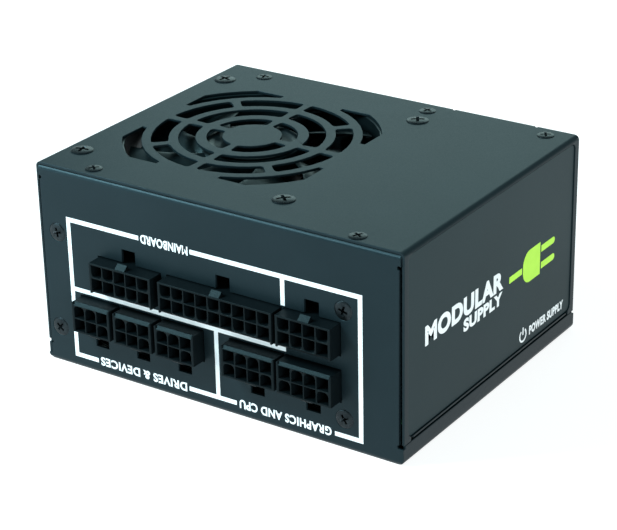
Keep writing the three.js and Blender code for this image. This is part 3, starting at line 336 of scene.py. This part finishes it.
def turned(profile, segments):
    """A piece turned about Z from [radius, z] points in millimetres, given outside in."""
    bm = bmesh.new()
    rings = []
    for radius, z in profile:
        if radius == 0:
            rings.append([bm.verts.new(mm(0, 0, z))])
            continue
        ring = []
        for k in range(segments):
            angle = 2 * math.pi * k / segments
            ring.append(bm.verts.new(mm(radius * math.cos(angle), radius * math.sin(angle), z)))
        rings.append(ring)
    closed = len(rings[0]) > 1
    pairs = zip(rings, rings[1:] + (rings[:1] if closed else []))
    for low, high in pairs:
        for k in range(segments):
            corners = [low[k % len(low)], low[(k + 1) % len(low)],
                       high[(k + 1) % len(high)], high[k % len(high)]]
            distinct = list(dict.fromkeys(corners))
            if len(distinct) > 2:
                bm.faces.new(distinct)
    return bm


def add_prism(bm, low_outline, high_outline):
    """A closed solid between two outlines of equally many points in millimetres."""
    low, high = ([bm.verts.new(mm(*point)) for point in outline]
                 for outline in (low_outline, high_outline))
    bm.faces.new(low)
    bm.faces.new(list(reversed(high)))
    for k in range(len(low)):
        after = (k + 1) % len(low)
        bm.faces.new([low[k], high[k], high[after], low[after]])


def add_box(bm, x0, x1, y0, y1, z0, z1):
    low, high = ([(x0, y0, z), (x1, y0, z), (x1, y1, z), (x0, y1, z)] for z in (z0, z1))
    add_prism(bm, low, high)


def combine(piece, tool, operation):
    """Cuts tool from piece or joins it, and removes tool."""
    modifier = piece.modifiers.new("combine", "BOOLEAN")
    modifier.operation = operation
    modifier.solver = "EXACT"
    modifier.object = tool
    apply_modifiers(piece)
    bpy.data.objects.remove(tool)


def fillet(cx, cz, radius, start, end, steps):
    """Profile points on an arc, its angles in degrees."""
    points = []
    for i in range(steps + 1):
        angle = math.radians(start + (end - start) * i / steps)
        points.append((cx + radius * math.cos(angle), cz + radius * math.sin(angle)))
    return points


# ---- camera -------------------------------------------------------------------------

CAMERA = {
    "azimuth": 34.233, "elevation": 24.618, "roll": -1.163, "distance": 625.54,
    "focal_over_width": 3.39736, "aside": 0.990, "above": 5.359, "target_z": 31.75,
}
SENSOR = 36.0


def add_camera():
    azimuth, elevation, roll = (
        math.radians(CAMERA[key]) for key in ("azimuth", "elevation", "roll"))
    back = Vector((math.sin(azimuth) * math.cos(elevation),
                   -math.cos(azimuth) * math.cos(elevation), math.sin(elevation)))
    level = Vector((math.cos(azimuth), math.sin(azimuth), 0))
    upright = back.cross(level)
    right = math.cos(roll) * level + math.sin(roll) * upright
    up = math.cos(roll) * upright - math.sin(roll) * level
    place = (mm(0, 0, CAMERA["target_z"]) - right * CAMERA["aside"] * MM
             - up * CAMERA["above"] * MM + back * CAMERA["distance"] * MM)
    data = bpy.data.cameras.new("camera")
    data.sensor_width = SENSOR
    data.lens = CAMERA["focal_over_width"] * SENSOR
    camera = bpy.data.objects.new("camera", data)
    turn = Matrix((right, up, back)).transposed().to_4x4()
    camera.matrix_world = Matrix.Translation(place) @ turn
    bpy.context.scene.collection.objects.link(camera)
    bpy.context.scene.camera = camera


add_camera()


# ---- sheet metal and label ----------------------------------------------------------

refined("top_cover", "shell", 0.12)
refined("lower_chassis", "shell", 0.12)
refined("side_label", "film", 0.05)


# ---- screws -------------------------------------------------------------------------


WING_WIDTH_SHARE = 0.42


def cross_arm(length, width, top, depth):
    """Two opposite wings of a cross recess along X, tapering down from a mouth at height top."""
    outlines = []
    for z, shrink in ((top + 0.4, 1.06), (top - depth, 0.35)):
        half_l, half_w = length * shrink, width * (0.55 + 0.45 * shrink) / 2
        outlines.append([(-half_l, -half_w, z), (half_l, -half_w, z),
                         (half_l, half_w, z), (-half_l, half_w, z)])
    bm = bmesh.new()
    add_prism(bm, *outlines)
    return bm


def threads(radius, start, end, pitch):
    """Zigzag profile points of a thread from start down to end."""
    points = []
    z = start
    while z - pitch > end:
        points += [(radius, z - pitch * 0.25), (radius * 0.84, z - pitch * 0.75)]
        z -= pitch
    return points


def screw_mesh(name, head_profile, shank, length, cross, slot):
    """A turned screw with its thread and cross recess, head up, seat at z = 0.

    cross is (length of a wing, height of the mouth, depth) of the recess.
    """
    start = head_profile[-1][1]
    profile = [*head_profile, *threads(shank, start - 0.3, -length + 0.8, 0.7),
               (shank * 0.8, -length + 0.4), (shank * 0.5, -length), (0, -length)]
    bm = turned(profile, 40)
    piece = from_bmesh(name, bm, finishes[slot])
    arms, top, depth = cross
    for angle in (0, 90):
        tool = from_bmesh("cross", cross_arm(arms, arms * WING_WIDTH_SHARE, top, depth))
        tool.data.transform(Matrix.Rotation(math.radians(angle), 4, "Z"))
        combine(piece, tool, "DIFFERENCE")
    shade_smooth(piece, 32)
    mesh = piece.data
    bpy.data.objects.remove(piece)
    return mesh


def pan_profile(radius, rise):
    """Head profile of a low domed head with a rolled rim, from the crown out and down."""
    rim = 0.35 * rise
    points = [(0, rise)]
    for k in range(1, 9):
        share = k / 8
        points.append((radius * 0.93 * share, rise - (rise - rim * 1.5) * share ** 2.6))
    points += [(radius * 0.985, rim * 1.1), (radius, rim * 0.6), (radius * 0.985, 0.02)]
    return points


def raised_countersunk_profile(radius):
    """A countersunk head with a slightly raised oval top."""
    points = [(0, 0.28)]
    for k in range(1, 7):
        share = k / 6
        points.append((radius * 0.86 * share, 0.28 - 0.2 * share ** 2))
    points += [(radius * 0.95, 0.0), (radius, -0.12), (radius * 0.52, -1.4)]
    return points


def place_screws(prefix, count, mesh, turn, seat):
    """Copies of a screw on the CAD screws, each turned a little differently."""
    for i in range(count):
        node = f"{prefix}_{i + 1}"
        low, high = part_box(node)
        piece = bpy.data.objects.new(f"{node}_cross_head", mesh)
        bpy.context.scene.collection.objects.link(piece)
        middle = (low + high) / 2
        spin = Matrix.Rotation(math.radians(SCREW_TURNS[i % len(SCREW_TURNS)]), 4, "Z")
        piece.matrix_world = Matrix.Translation(seat(middle)) @ turn @ spin
        stand_for(piece, body_of(node), node)


SCREW_TURNS = (12, 48, 74, 31, 63)
BOARD_SCREW_RISE = 1.8
UPRIGHT = Matrix.Identity(4)
FORWARD = Matrix.Rotation(math.radians(90), 4, "X")

fan_screw = screw_mesh(
    "fan_screw_made", [*pan_profile(3.38, 0.58), (1.9, 0.0)], 1.9, 9.9, (2.35, 0.58, 1.6),
    "black_screw")
cover_screw = screw_mesh(
    "cover_screw_made", [*pan_profile(2.58, 0.43), (1.5, 0.0)], 1.5, 4.9, (1.8, 0.43, 1.3),
    "black_screw")
front_screw = screw_mesh(
    "front_screw_made", raised_countersunk_profile(2.88), 1.5, 10.9, (1.75, 0.28, 1.3),
    "black_screw")
board_screw = screw_mesh(
    "board_screw_made", [*pan_profile(2.78, 1.76), (1.4, 0.0)], 1.4, 5.4, (1.6, 1.76, 1.4),
    "zinc_screw")
board_screw_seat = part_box("main_board_screw_1")[1].z - BOARD_SCREW_RISE * MM
place_screws("fan_screw", 4, fan_screw, UPRIGHT, lambda p: Vector((p.x, p.y, TOP_Z * MM)))
place_screws("cover_screw", 5, cover_screw, UPRIGHT, lambda p: Vector((p.x, p.y, TOP_Z * MM)))
place_screws(
    "socket_board_screw", 4, front_screw, FORWARD, lambda p: Vector((p.x, FRONT_Y * MM, p.z)))
place_screws(
    "main_board_screw", 4, board_screw, UPRIGHT, lambda p: Vector((p.x, p.y, board_screw_seat)))


# ---- output sockets -----------------------------------------------------------------

PITCH = 4.2
SOCKET_FRONT = -54.8
# The terminals' faces lie within TERMINAL_HALF of a cell's middle and between these depths
# behind the socket's front.
TERMINAL_HALF = 0.62
TERMINAL_DEPTHS = (1.4, 9.4)
UPPER_CELLS_Z = 33.75
LOWER_CELLS_Z = 18.95
SOCKET_COLUMNS = {
    "socket_10_pin": 5, "socket_18_pin": 9, "socket_8_pin_upper": 4,
    "socket_6_pin_1": 3, "socket_6_pin_2": 3, "socket_6_pin_3": 3,
    "socket_8_pin_lower_1": 4, "socket_8_pin_lower_2": 4,
}


def add_sockets():
    """Moulded housings with the contacts inside their cells in metal."""
    for node, columns in SOCKET_COLUMNS.items():
        low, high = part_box(node)
        middle = (low + high) / 2 / MM
        x = middle.x
        z = UPPER_CELLS_Z if middle.z > (UPPER_CELLS_Z + LOWER_CELLS_Z) / 2 else LOWER_CELLS_Z
        piece = refined(node, "moulding", 0.13)
        piece.data.materials.append(terminal_metal)
        for polygon in piece.data.polygons:
            centre = polygon.center / MM
            column = (centre.x - x) / PITCH + (columns - 1) / 2
            off_x = abs(column - round(column)) * PITCH
            off_z = min(abs(centre.z - z - PITCH / 2), abs(centre.z - z + PITCH / 2))
            inside = TERMINAL_DEPTHS[0] < centre.y - SOCKET_FRONT < TERMINAL_DEPTHS[1]
            if inside and off_x < TERMINAL_HALF and off_z < TERMINAL_HALF:
                polygon.material_index = 1


add_sockets()


# ---- printed graphics ---------------------------------------------------------------


INK = 0.05
INK_SUNK = 0.02


def lettering(words, thicken):
    """Words as flat closed solids, one unit thick, from (0, 0) to (width, cap height)."""
    text = bpy.data.curves.new("words", "FONT")
    text.body = words
    text.size = 1.0
    text.offset = thicken
    text.extrude = 0.5
    text.resolution_u = 6
    text.space_character = 1.08
    text.space_word = 0.9
    holder = bpy.data.objects.new("words", text)
    bpy.context.scene.collection.objects.link(holder)
    shown = holder.evaluated_get(bpy.context.evaluated_depsgraph_get())
    mesh = bpy.data.meshes.new_from_object(shown)
    bm = bmesh.new()
    bm.from_mesh(mesh)
    bmesh.ops.remove_doubles(bm, verts=bm.verts, dist=1e-5)
    bmesh.ops.dissolve_limit(
        bm, angle_limit=math.radians(1), verts=bm.verts, edges=bm.edges)
    bpy.data.objects.remove(holder)
    bpy.data.meshes.remove(mesh)
    low = Vector(min(v.co[i] for v in bm.verts) for i in range(3))
    high = Vector(max(v.co[i] for v in bm.verts) for i in range(3))
    size = high - low
    for v in bm.verts:
        v.co = Vector((v.co[i] - low[i]) / size[i] for i in range(3))
    return bm


def print_words(name, words, origin, along, up, width, height, ink, thicken=0.032):
    """Words laid on a face: origin is their lower left corner as read, in millimetres."""
    bm = lettering(words, thicken)
    along, up = Vector(along), Vector(up)
    out = along.cross(up)
    for v in bm.verts:
        across, above, lift = v.co
        v.co = (Vector(origin) + along * across * width + up * above * height
                + out * (lift * INK - INK_SUNK)) * MM
    piece = from_bmesh(name, bm, ink)
    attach(piece, "housing")
    return piece


LINE = 1.4
LEFT, RIGHT, BOTTOM, TOP = -52.0, 49.7, 3.3, 48.4
FRONT_WORDS_HEIGHT = 2.8
MIDDLE = 25.7
UPPER_DIVIDER = 23.9
UPPER_DIVIDER_FOOT = 39.0
LOWER_DIVIDER = 0.7
TOP_GAP = (-25.5, -7.4)
BOTTOM_GAPS = ((-43.2, -9.6), (7.1, 40.4))


def add_front_print():
    """The white frame round the groups of sockets, broken where their names stand."""
    half = LINE / 2
    strips = [
        (LEFT, LEFT + LINE, BOTTOM, TOP),
        (RIGHT - LINE, RIGHT, BOTTOM, TOP),
        (LEFT + LINE, TOP_GAP[0], TOP - LINE, TOP),
        (TOP_GAP[1], RIGHT - LINE, TOP - LINE, TOP),
        (LEFT + LINE, BOTTOM_GAPS[0][0], BOTTOM, BOTTOM + LINE),
        (BOTTOM_GAPS[0][1], BOTTOM_GAPS[1][0], BOTTOM, BOTTOM + LINE),
        (BOTTOM_GAPS[1][1], RIGHT - LINE, BOTTOM, BOTTOM + LINE),
        (LEFT + LINE, UPPER_DIVIDER + half, MIDDLE - half, MIDDLE + half),
        (UPPER_DIVIDER - half, UPPER_DIVIDER + half, UPPER_DIVIDER_FOOT, TOP - LINE),
        (LOWER_DIVIDER - half, LOWER_DIVIDER + half, BOTTOM + LINE, MIDDLE - half),
    ]
    bm = bmesh.new()
    for x0, x1, z0, z1 in strips:
        add_box(bm, x0, x1, FRONT_Y - INK + INK_SUNK, FRONT_Y + INK_SUNK, z0, z1)
    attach(from_bmesh("front_frame_print", bm, white_ink), "housing")
    names = (
        ("front_words_top", "MAINBOARD", -8.1, 49.1, 16.7),
        ("front_words_left", "DRIVES & DEVICES", -10.5, 5.5, 31.8),
        ("front_words_right", "GRAPHICS AND CPU", 39.3, 5.5, 31.2),
    )
    for name, words, x, z, width in names:
        print_words(name, words, (x, FRONT_Y, z), (-1, 0, 0), (0, 0, -1),
                    width, FRONT_WORDS_HEIGHT, white_ink)


add_front_print()


def add_plate(bm, outline):
    """A thin plate on the label from (y, z) points in millimetres."""
    low, high = ([(LABEL_X + lift, y, z) for y, z in outline]
                 for lift in (-INK_SUNK, INK - INK_SUNK))
    add_prism(bm, low, high)


PLUG = {
    "middle_z": 32.4, "back": 16.8, "front": 27.2, "rounding": 4.2, "half_height": 5.1,
    "prong_half": 1.05, "prong_offset": 2.7, "prong_from": 27.9, "prong_to": 35.2,
    "cord_half": 1.0, "cord_from": 8.6, "cord_to": 16.2,
}


def add_plug_sign(bm):
    """A mains plug seen from the side: a body with a round back, two prongs and a cord."""
    z = PLUG["middle_z"]
    half, radius = PLUG["half_height"], PLUG["rounding"]
    y, bend = PLUG["back"] + radius, half - radius
    add_plate(bm, [(y, z - half), *fillet(y, z - bend, radius, 270, 180, 8)[1:],
                   *fillet(y, z + bend, radius, 180, 90, 8)[:-1], (y, z + half),
                   (PLUG["front"], z + half), (PLUG["front"], z - half)])
    half = PLUG["prong_half"]
    for side in (-1, 1):
        prong_z = z + side * PLUG["prong_offset"]
        add_plate(bm, [(PLUG["prong_from"], prong_z - half),
                       *fillet(PLUG["prong_to"], prong_z, half, -90, 90, 8),
                       (PLUG["prong_from"], prong_z + half)])
    y0, y1, half = PLUG["cord_from"], PLUG["cord_to"], PLUG["cord_half"]
    add_plate(bm, [(y0, z - half), (y1, z - half), (y1, z + half), (y0, z + half)])


def add_label_print():
    """Plain words, a power sign and a plug sign on the side label."""
    for name, words, y, z, width, height, thicken in (
            ("label_words_large", "MODULAR", -38.3, 31.4, 43.3, 6.1, 0.05),
            ("label_words_medium", "SUPPLY", -17.5, 26.8, 22.1, 4.0, 0.05),
            ("label_words_small", "POWER SUPPLY", 21.6, 9.6, 21.4, 2.9, 0.045)):
        print_words(name, words, (LABEL_X, y, z), (0, 1, 0), (0, 0, 1),
                    width, height, white_ink, thicken)
    bm = bmesh.new()
    y, z, radius, stroke = 17.8, 11.0, 2.2, 0.6
    half = stroke / 2
    add_plate(bm, fillet(y, z, radius, 125, 415, 24)
              + fillet(y, z, radius - stroke, 415, 125, 24))
    add_plate(bm, [(y - half, z + 0.2), (y + half, z + 0.2), (y + half, z + 2.6),
                   (y - half, z + 2.6)])
    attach(from_bmesh("label_power_sign", bm, white_ink), "housing")
    bm = bmesh.new()
    add_plug_sign(bm)
    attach(from_bmesh("label_plug_sign", bm, lime_ink), "housing")


add_label_print()


# ---- fan ----------------------------------------------------------------------------

HUB_RADIUS = 15.0
BLADE_TIP = 36.75
BLADES = 9
fan_frame_low, fan_frame_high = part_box("fan_frame")
FAN_X = (fan_frame_low.x + fan_frame_high.x) / 2 / MM
FAN_Y = (fan_frame_low.y + fan_frame_high.y) / 2 / MM
FAN_TOP = fan_frame_high.z / MM
FAN_BASE = fan_frame_low.z / MM


def add_blade(bm, angle):
    """One swept, pitched blade with a cambered oval section."""
    steps, around = 18, 14
    inner = HUB_RADIUS - 0.5
    loops = []
    for i in range(steps + 1):
        along = i / steps
        radius = inner + (BLADE_TIP - inner) * along
        loop = []
        for k in range(2 * around):
            phase = math.pi * k / around
            chord = -0.5 * math.cos(phase)
            thick = 0.62 * math.sin(phase)
            turn = angle + math.radians(10 - 26 * along + chord * (38 - 4 * along))
            camber = 1.1 * (1 - 4 * chord * chord)
            z = FAN_BASE + 8 - chord * (8.6 - 1.6 * along) + camber + thick
            loop.append(bm.verts.new(mm(radius * math.cos(turn), radius * math.sin(turn), z)))
        loops.append(loop)
    for low, high in zip(loops, loops[1:]):
        for k in range(2 * around):
            after = (k + 1) % (2 * around)
            bm.faces.new([low[k], low[after], high[after], high[k]])
    bm.faces.new(list(reversed(loops[0])))
    bm.faces.new(loops[-1])


def add_fan():
    """The rotor with its blades joined to the hub, and the frame round it."""
    top = FAN_TOP - 1
    wall = HUB_RADIUS - 1.8
    profile = [
        (1.6, top), (3.2, top), (3.4, top - 0.25), (11.2, top - 0.25), (11.5, top),
        *fillet(HUB_RADIUS - 1.2, top - 1.2, 1.2, 90, 0, 6),
        (HUB_RADIUS, FAN_BASE + 3.4), (HUB_RADIUS - 0.4, FAN_BASE + 3), (wall, FAN_BASE + 3),
        (wall, top - 1.8), (1.6, top - 1.8),
    ]
    hub = from_bmesh("fan_rotor_moulding", turned(profile, 72), finishes["fan_plastic"])
    bm = bmesh.new()
    for i in range(BLADES):
        add_blade(bm, i * 2 * math.pi / BLADES)
    combine(hub, from_bmesh("blades", bm, finishes["fan_plastic"]), "UNION")
    hub.data.transform(Matrix.Translation(mm(FAN_X, FAN_Y, 0)))
    shade_smooth(hub, 40)
    stand_for(hub, "fan", "fan_rotor")
    refined("fan_frame", "moulding", 0.35, 3)


add_fan()


# ---- rear fittings ------------------------------------------------------------------

refined("inlet_housing", "moulding", 0.3, 3)
refined("switch_housing", "moulding", 0.25, 3)
refined("switch_rocker", "moulding", 0.35, 3)
for pin in ("live", "neutral", "earth"):
    refined(f"inlet_pin_{pin}", "blade", 0.15)

ROCKER_AXIS = (38.0, 47.4, 46.0)
ROCKER_TILT = 9.0
# The rocker's face stands out from its axis, and further by ROCKER_SWELL at its outer ends.
ROCKER_FACE_Y = 2.2
ROCKER_SWELL = 0.7
ROCKER_REACH = 6.6
ROCKER_SLOPE = math.degrees(math.atan2(ROCKER_SWELL, ROCKER_REACH))
MARK_RADIUS = 1.5
MARK_HOLE = 1.05
MARK_BAR_HALF = 0.25
MARK_HEIGHT = 3.9


def rocker_bar():
    bm = bmesh.new()
    low, high = ([(-MARK_BAR_HALF, y, -MARK_RADIUS), (MARK_BAR_HALF, y, -MARK_RADIUS),
                  (MARK_BAR_HALF, y, MARK_RADIUS), (-MARK_BAR_HALF, y, MARK_RADIUS)]
                 for y in (-INK_SUNK, INK - INK_SUNK))
    add_prism(bm, low, high)
    return bm


def rocker_ring():
    bm = bmesh.new()
    section = ((MARK_RADIUS, -INK_SUNK), (MARK_RADIUS, INK - INK_SUNK),
               (MARK_HOLE, INK - INK_SUNK), (MARK_HOLE, -INK_SUNK))
    loops = [[bm.verts.new(mm(r * x, y, r * z)) for r, y in section]
             for x, z in fillet(0, 0, 1, 0, 360, 32)[:-1]]
    for near, far in zip(loops, loops[1:] + loops[:1]):
        for k in range(4):
            after = (k + 1) % 4
            bm.faces.new([near[k], near[after], far[after], far[k]])
    return bm


def add_rocker_marks():
    """The bar and ring of a power switch on the two halves of the rocker."""
    tilt = Matrix.Rotation(math.radians(ROCKER_TILT), 4, "X")
    for name, bm, side in (
            ("rocker_bar_mark", rocker_bar(), 1), ("rocker_ring_mark", rocker_ring(), -1)):
        piece = from_bmesh(name, bm, white_ink)
        lean = Matrix.Rotation(math.radians(-side * ROCKER_SLOPE), 4, "X")
        face_y = ROCKER_FACE_Y + ROCKER_SWELL * MARK_HEIGHT / ROCKER_REACH
        on_face = Matrix.Translation(mm(0, face_y, side * MARK_HEIGHT)) @ lean
        piece.matrix_world = Matrix.Translation(mm(*ROCKER_AXIS)) @ tilt @ on_face
        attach(piece, "rocker")


add_rocker_marks()


# ---- parts on the boards ------------------------------------------------------------

for node, width in (
        ("primary_heatsink", 0.15), ("secondary_heatsink", 0.15), ("bridge_rectifier", 0.4),
        ("transformer_core", 0.4), ("transformer_winding", 0.5), ("standby_transformer", 0.3),
        ("x_capacitor", 0.7), ("relay", 0.6), ("controller_board", 0.1), ("main_board", 0.08),
        ("socket_board", 0.08), ("insulation_sheet", 0.04)):
    refined(node, "fitted", width)


def centre_of(node):
    """A CAD node's middle in x and y, its lowest and highest z and its half width."""
    low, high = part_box(node)
    middle = (low + high) / 2 / MM
    return middle.x, middle.y, low.z / MM, high.z / MM, (high.x - low.x) / 2 / MM


def add_wound_ring(node, hole, turns, wire):
    """A ring core under separate turns of enamelled wire."""
    x, y, z0, z1, outer = centre_of(node)
    skin = 2 * wire
    corner = 1.6
    r0, r1, low, high = hole + skin, outer - skin, z0 + skin, z1 - skin
    profile = [*fillet(r1 - corner, high - corner, corner, 90, 0, 4),
               *fillet(r1 - corner, low + corner, corner, 0, -90, 4),
               *fillet(r0 + corner, low + corner, corner, 270, 180, 4),
               *fillet(r0 + corner, high - corner, corner, 180, 90, 4)]
    core = from_bmesh(f"{node}_core", turned(profile, 48), finishes["ferrite"])
    path = [(r + wire * nr, z + wire * nz, nr, nz) for r, z, nr, nz in outward(profile)]
    bm = bmesh.new()
    sides = 8
    for turn in range(turns):
        angle = 2 * math.pi * turn / turns
        radial = Vector((math.cos(angle), math.sin(angle), 0))
        across = Vector((-math.sin(angle), math.cos(angle), 0))
        loops = []
        for r, z, nr, nz in path:
            middle = radial * r + Vector((0, 0, z))
            out = radial * nr + Vector((0, 0, nz))
            loop = []
            for k in range(sides):
                phase = 2 * math.pi * k / sides
                point = middle + (out * math.cos(phase) + across * math.sin(phase)) * wire
                loop.append(bm.verts.new(point * MM))
            loops.append(loop)
        for a, b in zip(loops, loops[1:] + loops[:1]):
            for k in range(sides):
                after = (k + 1) % sides
                bm.faces.new([a[k], a[after], b[after], b[k]])
    winding = from_bmesh(f"{node}_winding", bm, finishes[slot_of[node]])
    for piece in (core, winding):
        piece.data.transform(Matrix.Translation(mm(x, y, 0)))
        shade_smooth(piece, 60)
    stand_for(winding, "housing", node)
    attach(core, "housing")


def outward(profile):
    """Profile points with their outward directions."""
    count = len(profile)
    points = []
    for k, (r, z) in enumerate(profile):
        before, after = profile[k - 1], profile[(k + 1) % count]
        along = Vector((after[0] - before[0], after[1] - before[1])).normalized()
        points.append((r, z, -along.y, along.x))
    return points


# Painted shade: a dark sheet under the rear of the fan keeps the inside seen through the fan
# dark.
SHADE_SHEET = {"left": 6, "right": 39, "front": 12, "rear_y": 47.0, "corner": 4.0}
SHADE_SHEET_GAP = 0.05
SHADE_SHEET_THICK = 0.4


def add_shade_sheet():
    """A dark film under the rear of the fan: painted shade that darkens the inside seen through
    the fan.
    """
    x0, x1 = FAN_X - SHADE_SHEET["left"], FAN_X + SHADE_SHEET["right"]
    y0, y1, corner = FAN_Y + SHADE_SHEET["front"], SHADE_SHEET["rear_y"], SHADE_SHEET["corner"]
    outline = [(x1, y1), (x0, y1), *fillet(x0 + corner, y0 + corner, corner, 180, 270, 6),
               *fillet(x1 - corner, y0 + corner, corner, 270, 360, 6)]
    top = FAN_BASE - SHADE_SHEET_GAP
    bm = bmesh.new()
    low, high = ([(x, y, z) for x, y in outline] for z in (top - SHADE_SHEET_THICK, top))
    add_prism(bm, low, high)
    sheet = from_bmesh("painted_shade_sheet", bm, finishes["insulation_film"])
    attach(sheet, "housing")


def add_can(node, score):
    """An electrolytic can: shrink sleeve, bare scored top and a crimped foot."""
    x, y, z0, z1, radius = centre_of(node)
    shoulder = min(1.4, radius * 0.2)
    lip = radius - shoulder * 1.2
    profile = [
        (0, z1 - 0.25), (lip - 0.2, z1 - 0.25), (lip, z1 - 0.05), (lip + 0.15, z1),
        *fillet(radius - shoulder, z1 - shoulder, shoulder, 80, 0, 6),
        (radius, z0 + 4), (radius * 0.93, z0 + 3.2), (radius * 0.93, z0 + 2.6),
        (radius, z0 + 1.8), (radius, z0 + 0.3), (radius - 0.3, z0), (0, z0),
    ]
    can = from_bmesh(f"{node}_can", turned(profile, 56), finishes["capacitor_sleeve"],
                     finishes["bare_aluminium"])
    for angle in (0, 90):
        bm = bmesh.new()
        add_box(bm, -lip * 0.7, lip * 0.7, -score, score, z1 - 0.6, z1 + 1)
        tool = from_bmesh("score", bm)
        tool.data.transform(Matrix.Rotation(math.radians(angle + 20), 4, "Z"))
        combine(can, tool, "DIFFERENCE")
    for polygon in can.data.polygons:
        centre = polygon.center / MM
        if math.hypot(centre.x, centre.y) < lip and centre.z > z1 - 0.8:
            polygon.material_index = 1
    can.data.transform(Matrix.Translation(mm(x, y, 0)))
    shade_smooth(can, 35)
    stand_for(can, "housing", node)


# The dark sheet under the fan is painted shade.
add_shade_sheet()
add_wound_ring("pfc_choke", 6.0, 30, 0.5)
add_wound_ring("common_mode_choke", 3.5, 20, 0.4)
add_wound_ring("output_choke", 4.5, 20, 0.55)
add_can("bulk_capacitor", 0.35)
add_can("output_capacitor_1", 0.2)
add_can("output_capacitor_2", 0.2)

for node, piece in nodes.items():
    if not piece.hide_render:
        piece.data.materials.clear()
        piece.data.materials.append(finishes[slot_of[node]])
for node in ("fan_cable", "mains_lead_live", "mains_lead_neutral", "fan_shaft"):
    shade_smooth(nodes[node], 40)


# ---- stage and light ----------------------------------------------------------------


def add_stage():
    bm = bmesh.new()
    corners = [bm.verts.new(Vector((x, y, -0.0001))) for x, y in
               ((-4, -4), (4, -4), (4, 4), (-4, 4))]
    bm.faces.new(corners)
    paper = surface("paper", (0.34, 0.34, 0.34), (0.36, 0.36, 0.36), (0.7, 0.8),
                    patch=400, grain=2.0, specular=0.1)
    shader = paper.node_tree.nodes["Principled BSDF"]
    shader.inputs["Emission Color"].default_value = (1, 1, 1, 1)
    shader.inputs["Emission Strength"].default_value = 0.87
    from_bmesh("floor", bm, paper)
    world = bpy.data.worlds.new("studio")
    world.use_nodes = True
    background = world.node_tree.nodes["Background"]
    background.inputs["Color"].default_value = (0.64, 0.94, 0.98, 1)
    background.inputs["Strength"].default_value = 0.48
    bpy.context.scene.world = world
    bpy.context.scene.view_settings.view_transform = "Standard"


def soft_light(name, place, target, width, height, radiance, colour):
    """An area light of a given brightness, whatever its size. Places are in millimetres."""
    data = bpy.data.lights.new(name, "AREA")
    data.shape = "RECTANGLE"
    data.size = width * MM
    data.size_y = height * MM
    data.energy = radiance * math.pi * data.size * data.size_y
    data.color = colour
    light = bpy.data.objects.new(name, data)
    direction = mm(*target) - mm(*place)
    light.matrix_world = (Matrix.Translation(mm(*place))
                          @ direction.to_track_quat("-Z", "Y").to_matrix().to_4x4())
    bpy.context.scene.collection.objects.link(light)


add_stage()
soft_light("key", (-420, -340, 560), (0, 0, 40), 230, 230, 54.0, (0.66, 0.93, 1.0))
soft_light("back_sheen", (-440, 900, 470), (0, 0, 60), 700, 420, 1.5, (0.70, 0.98, 0.94))
soft_light("front_fill", (-230, -260, 90), (-40, -50, 30), 160, 140, 4.2, (0.60, 0.90, 1.0))
soft_light("side_light", (620, -450, 70), (60, 0, 30), 300, 220, 15.0, (0.9, 0.98, 1.0))
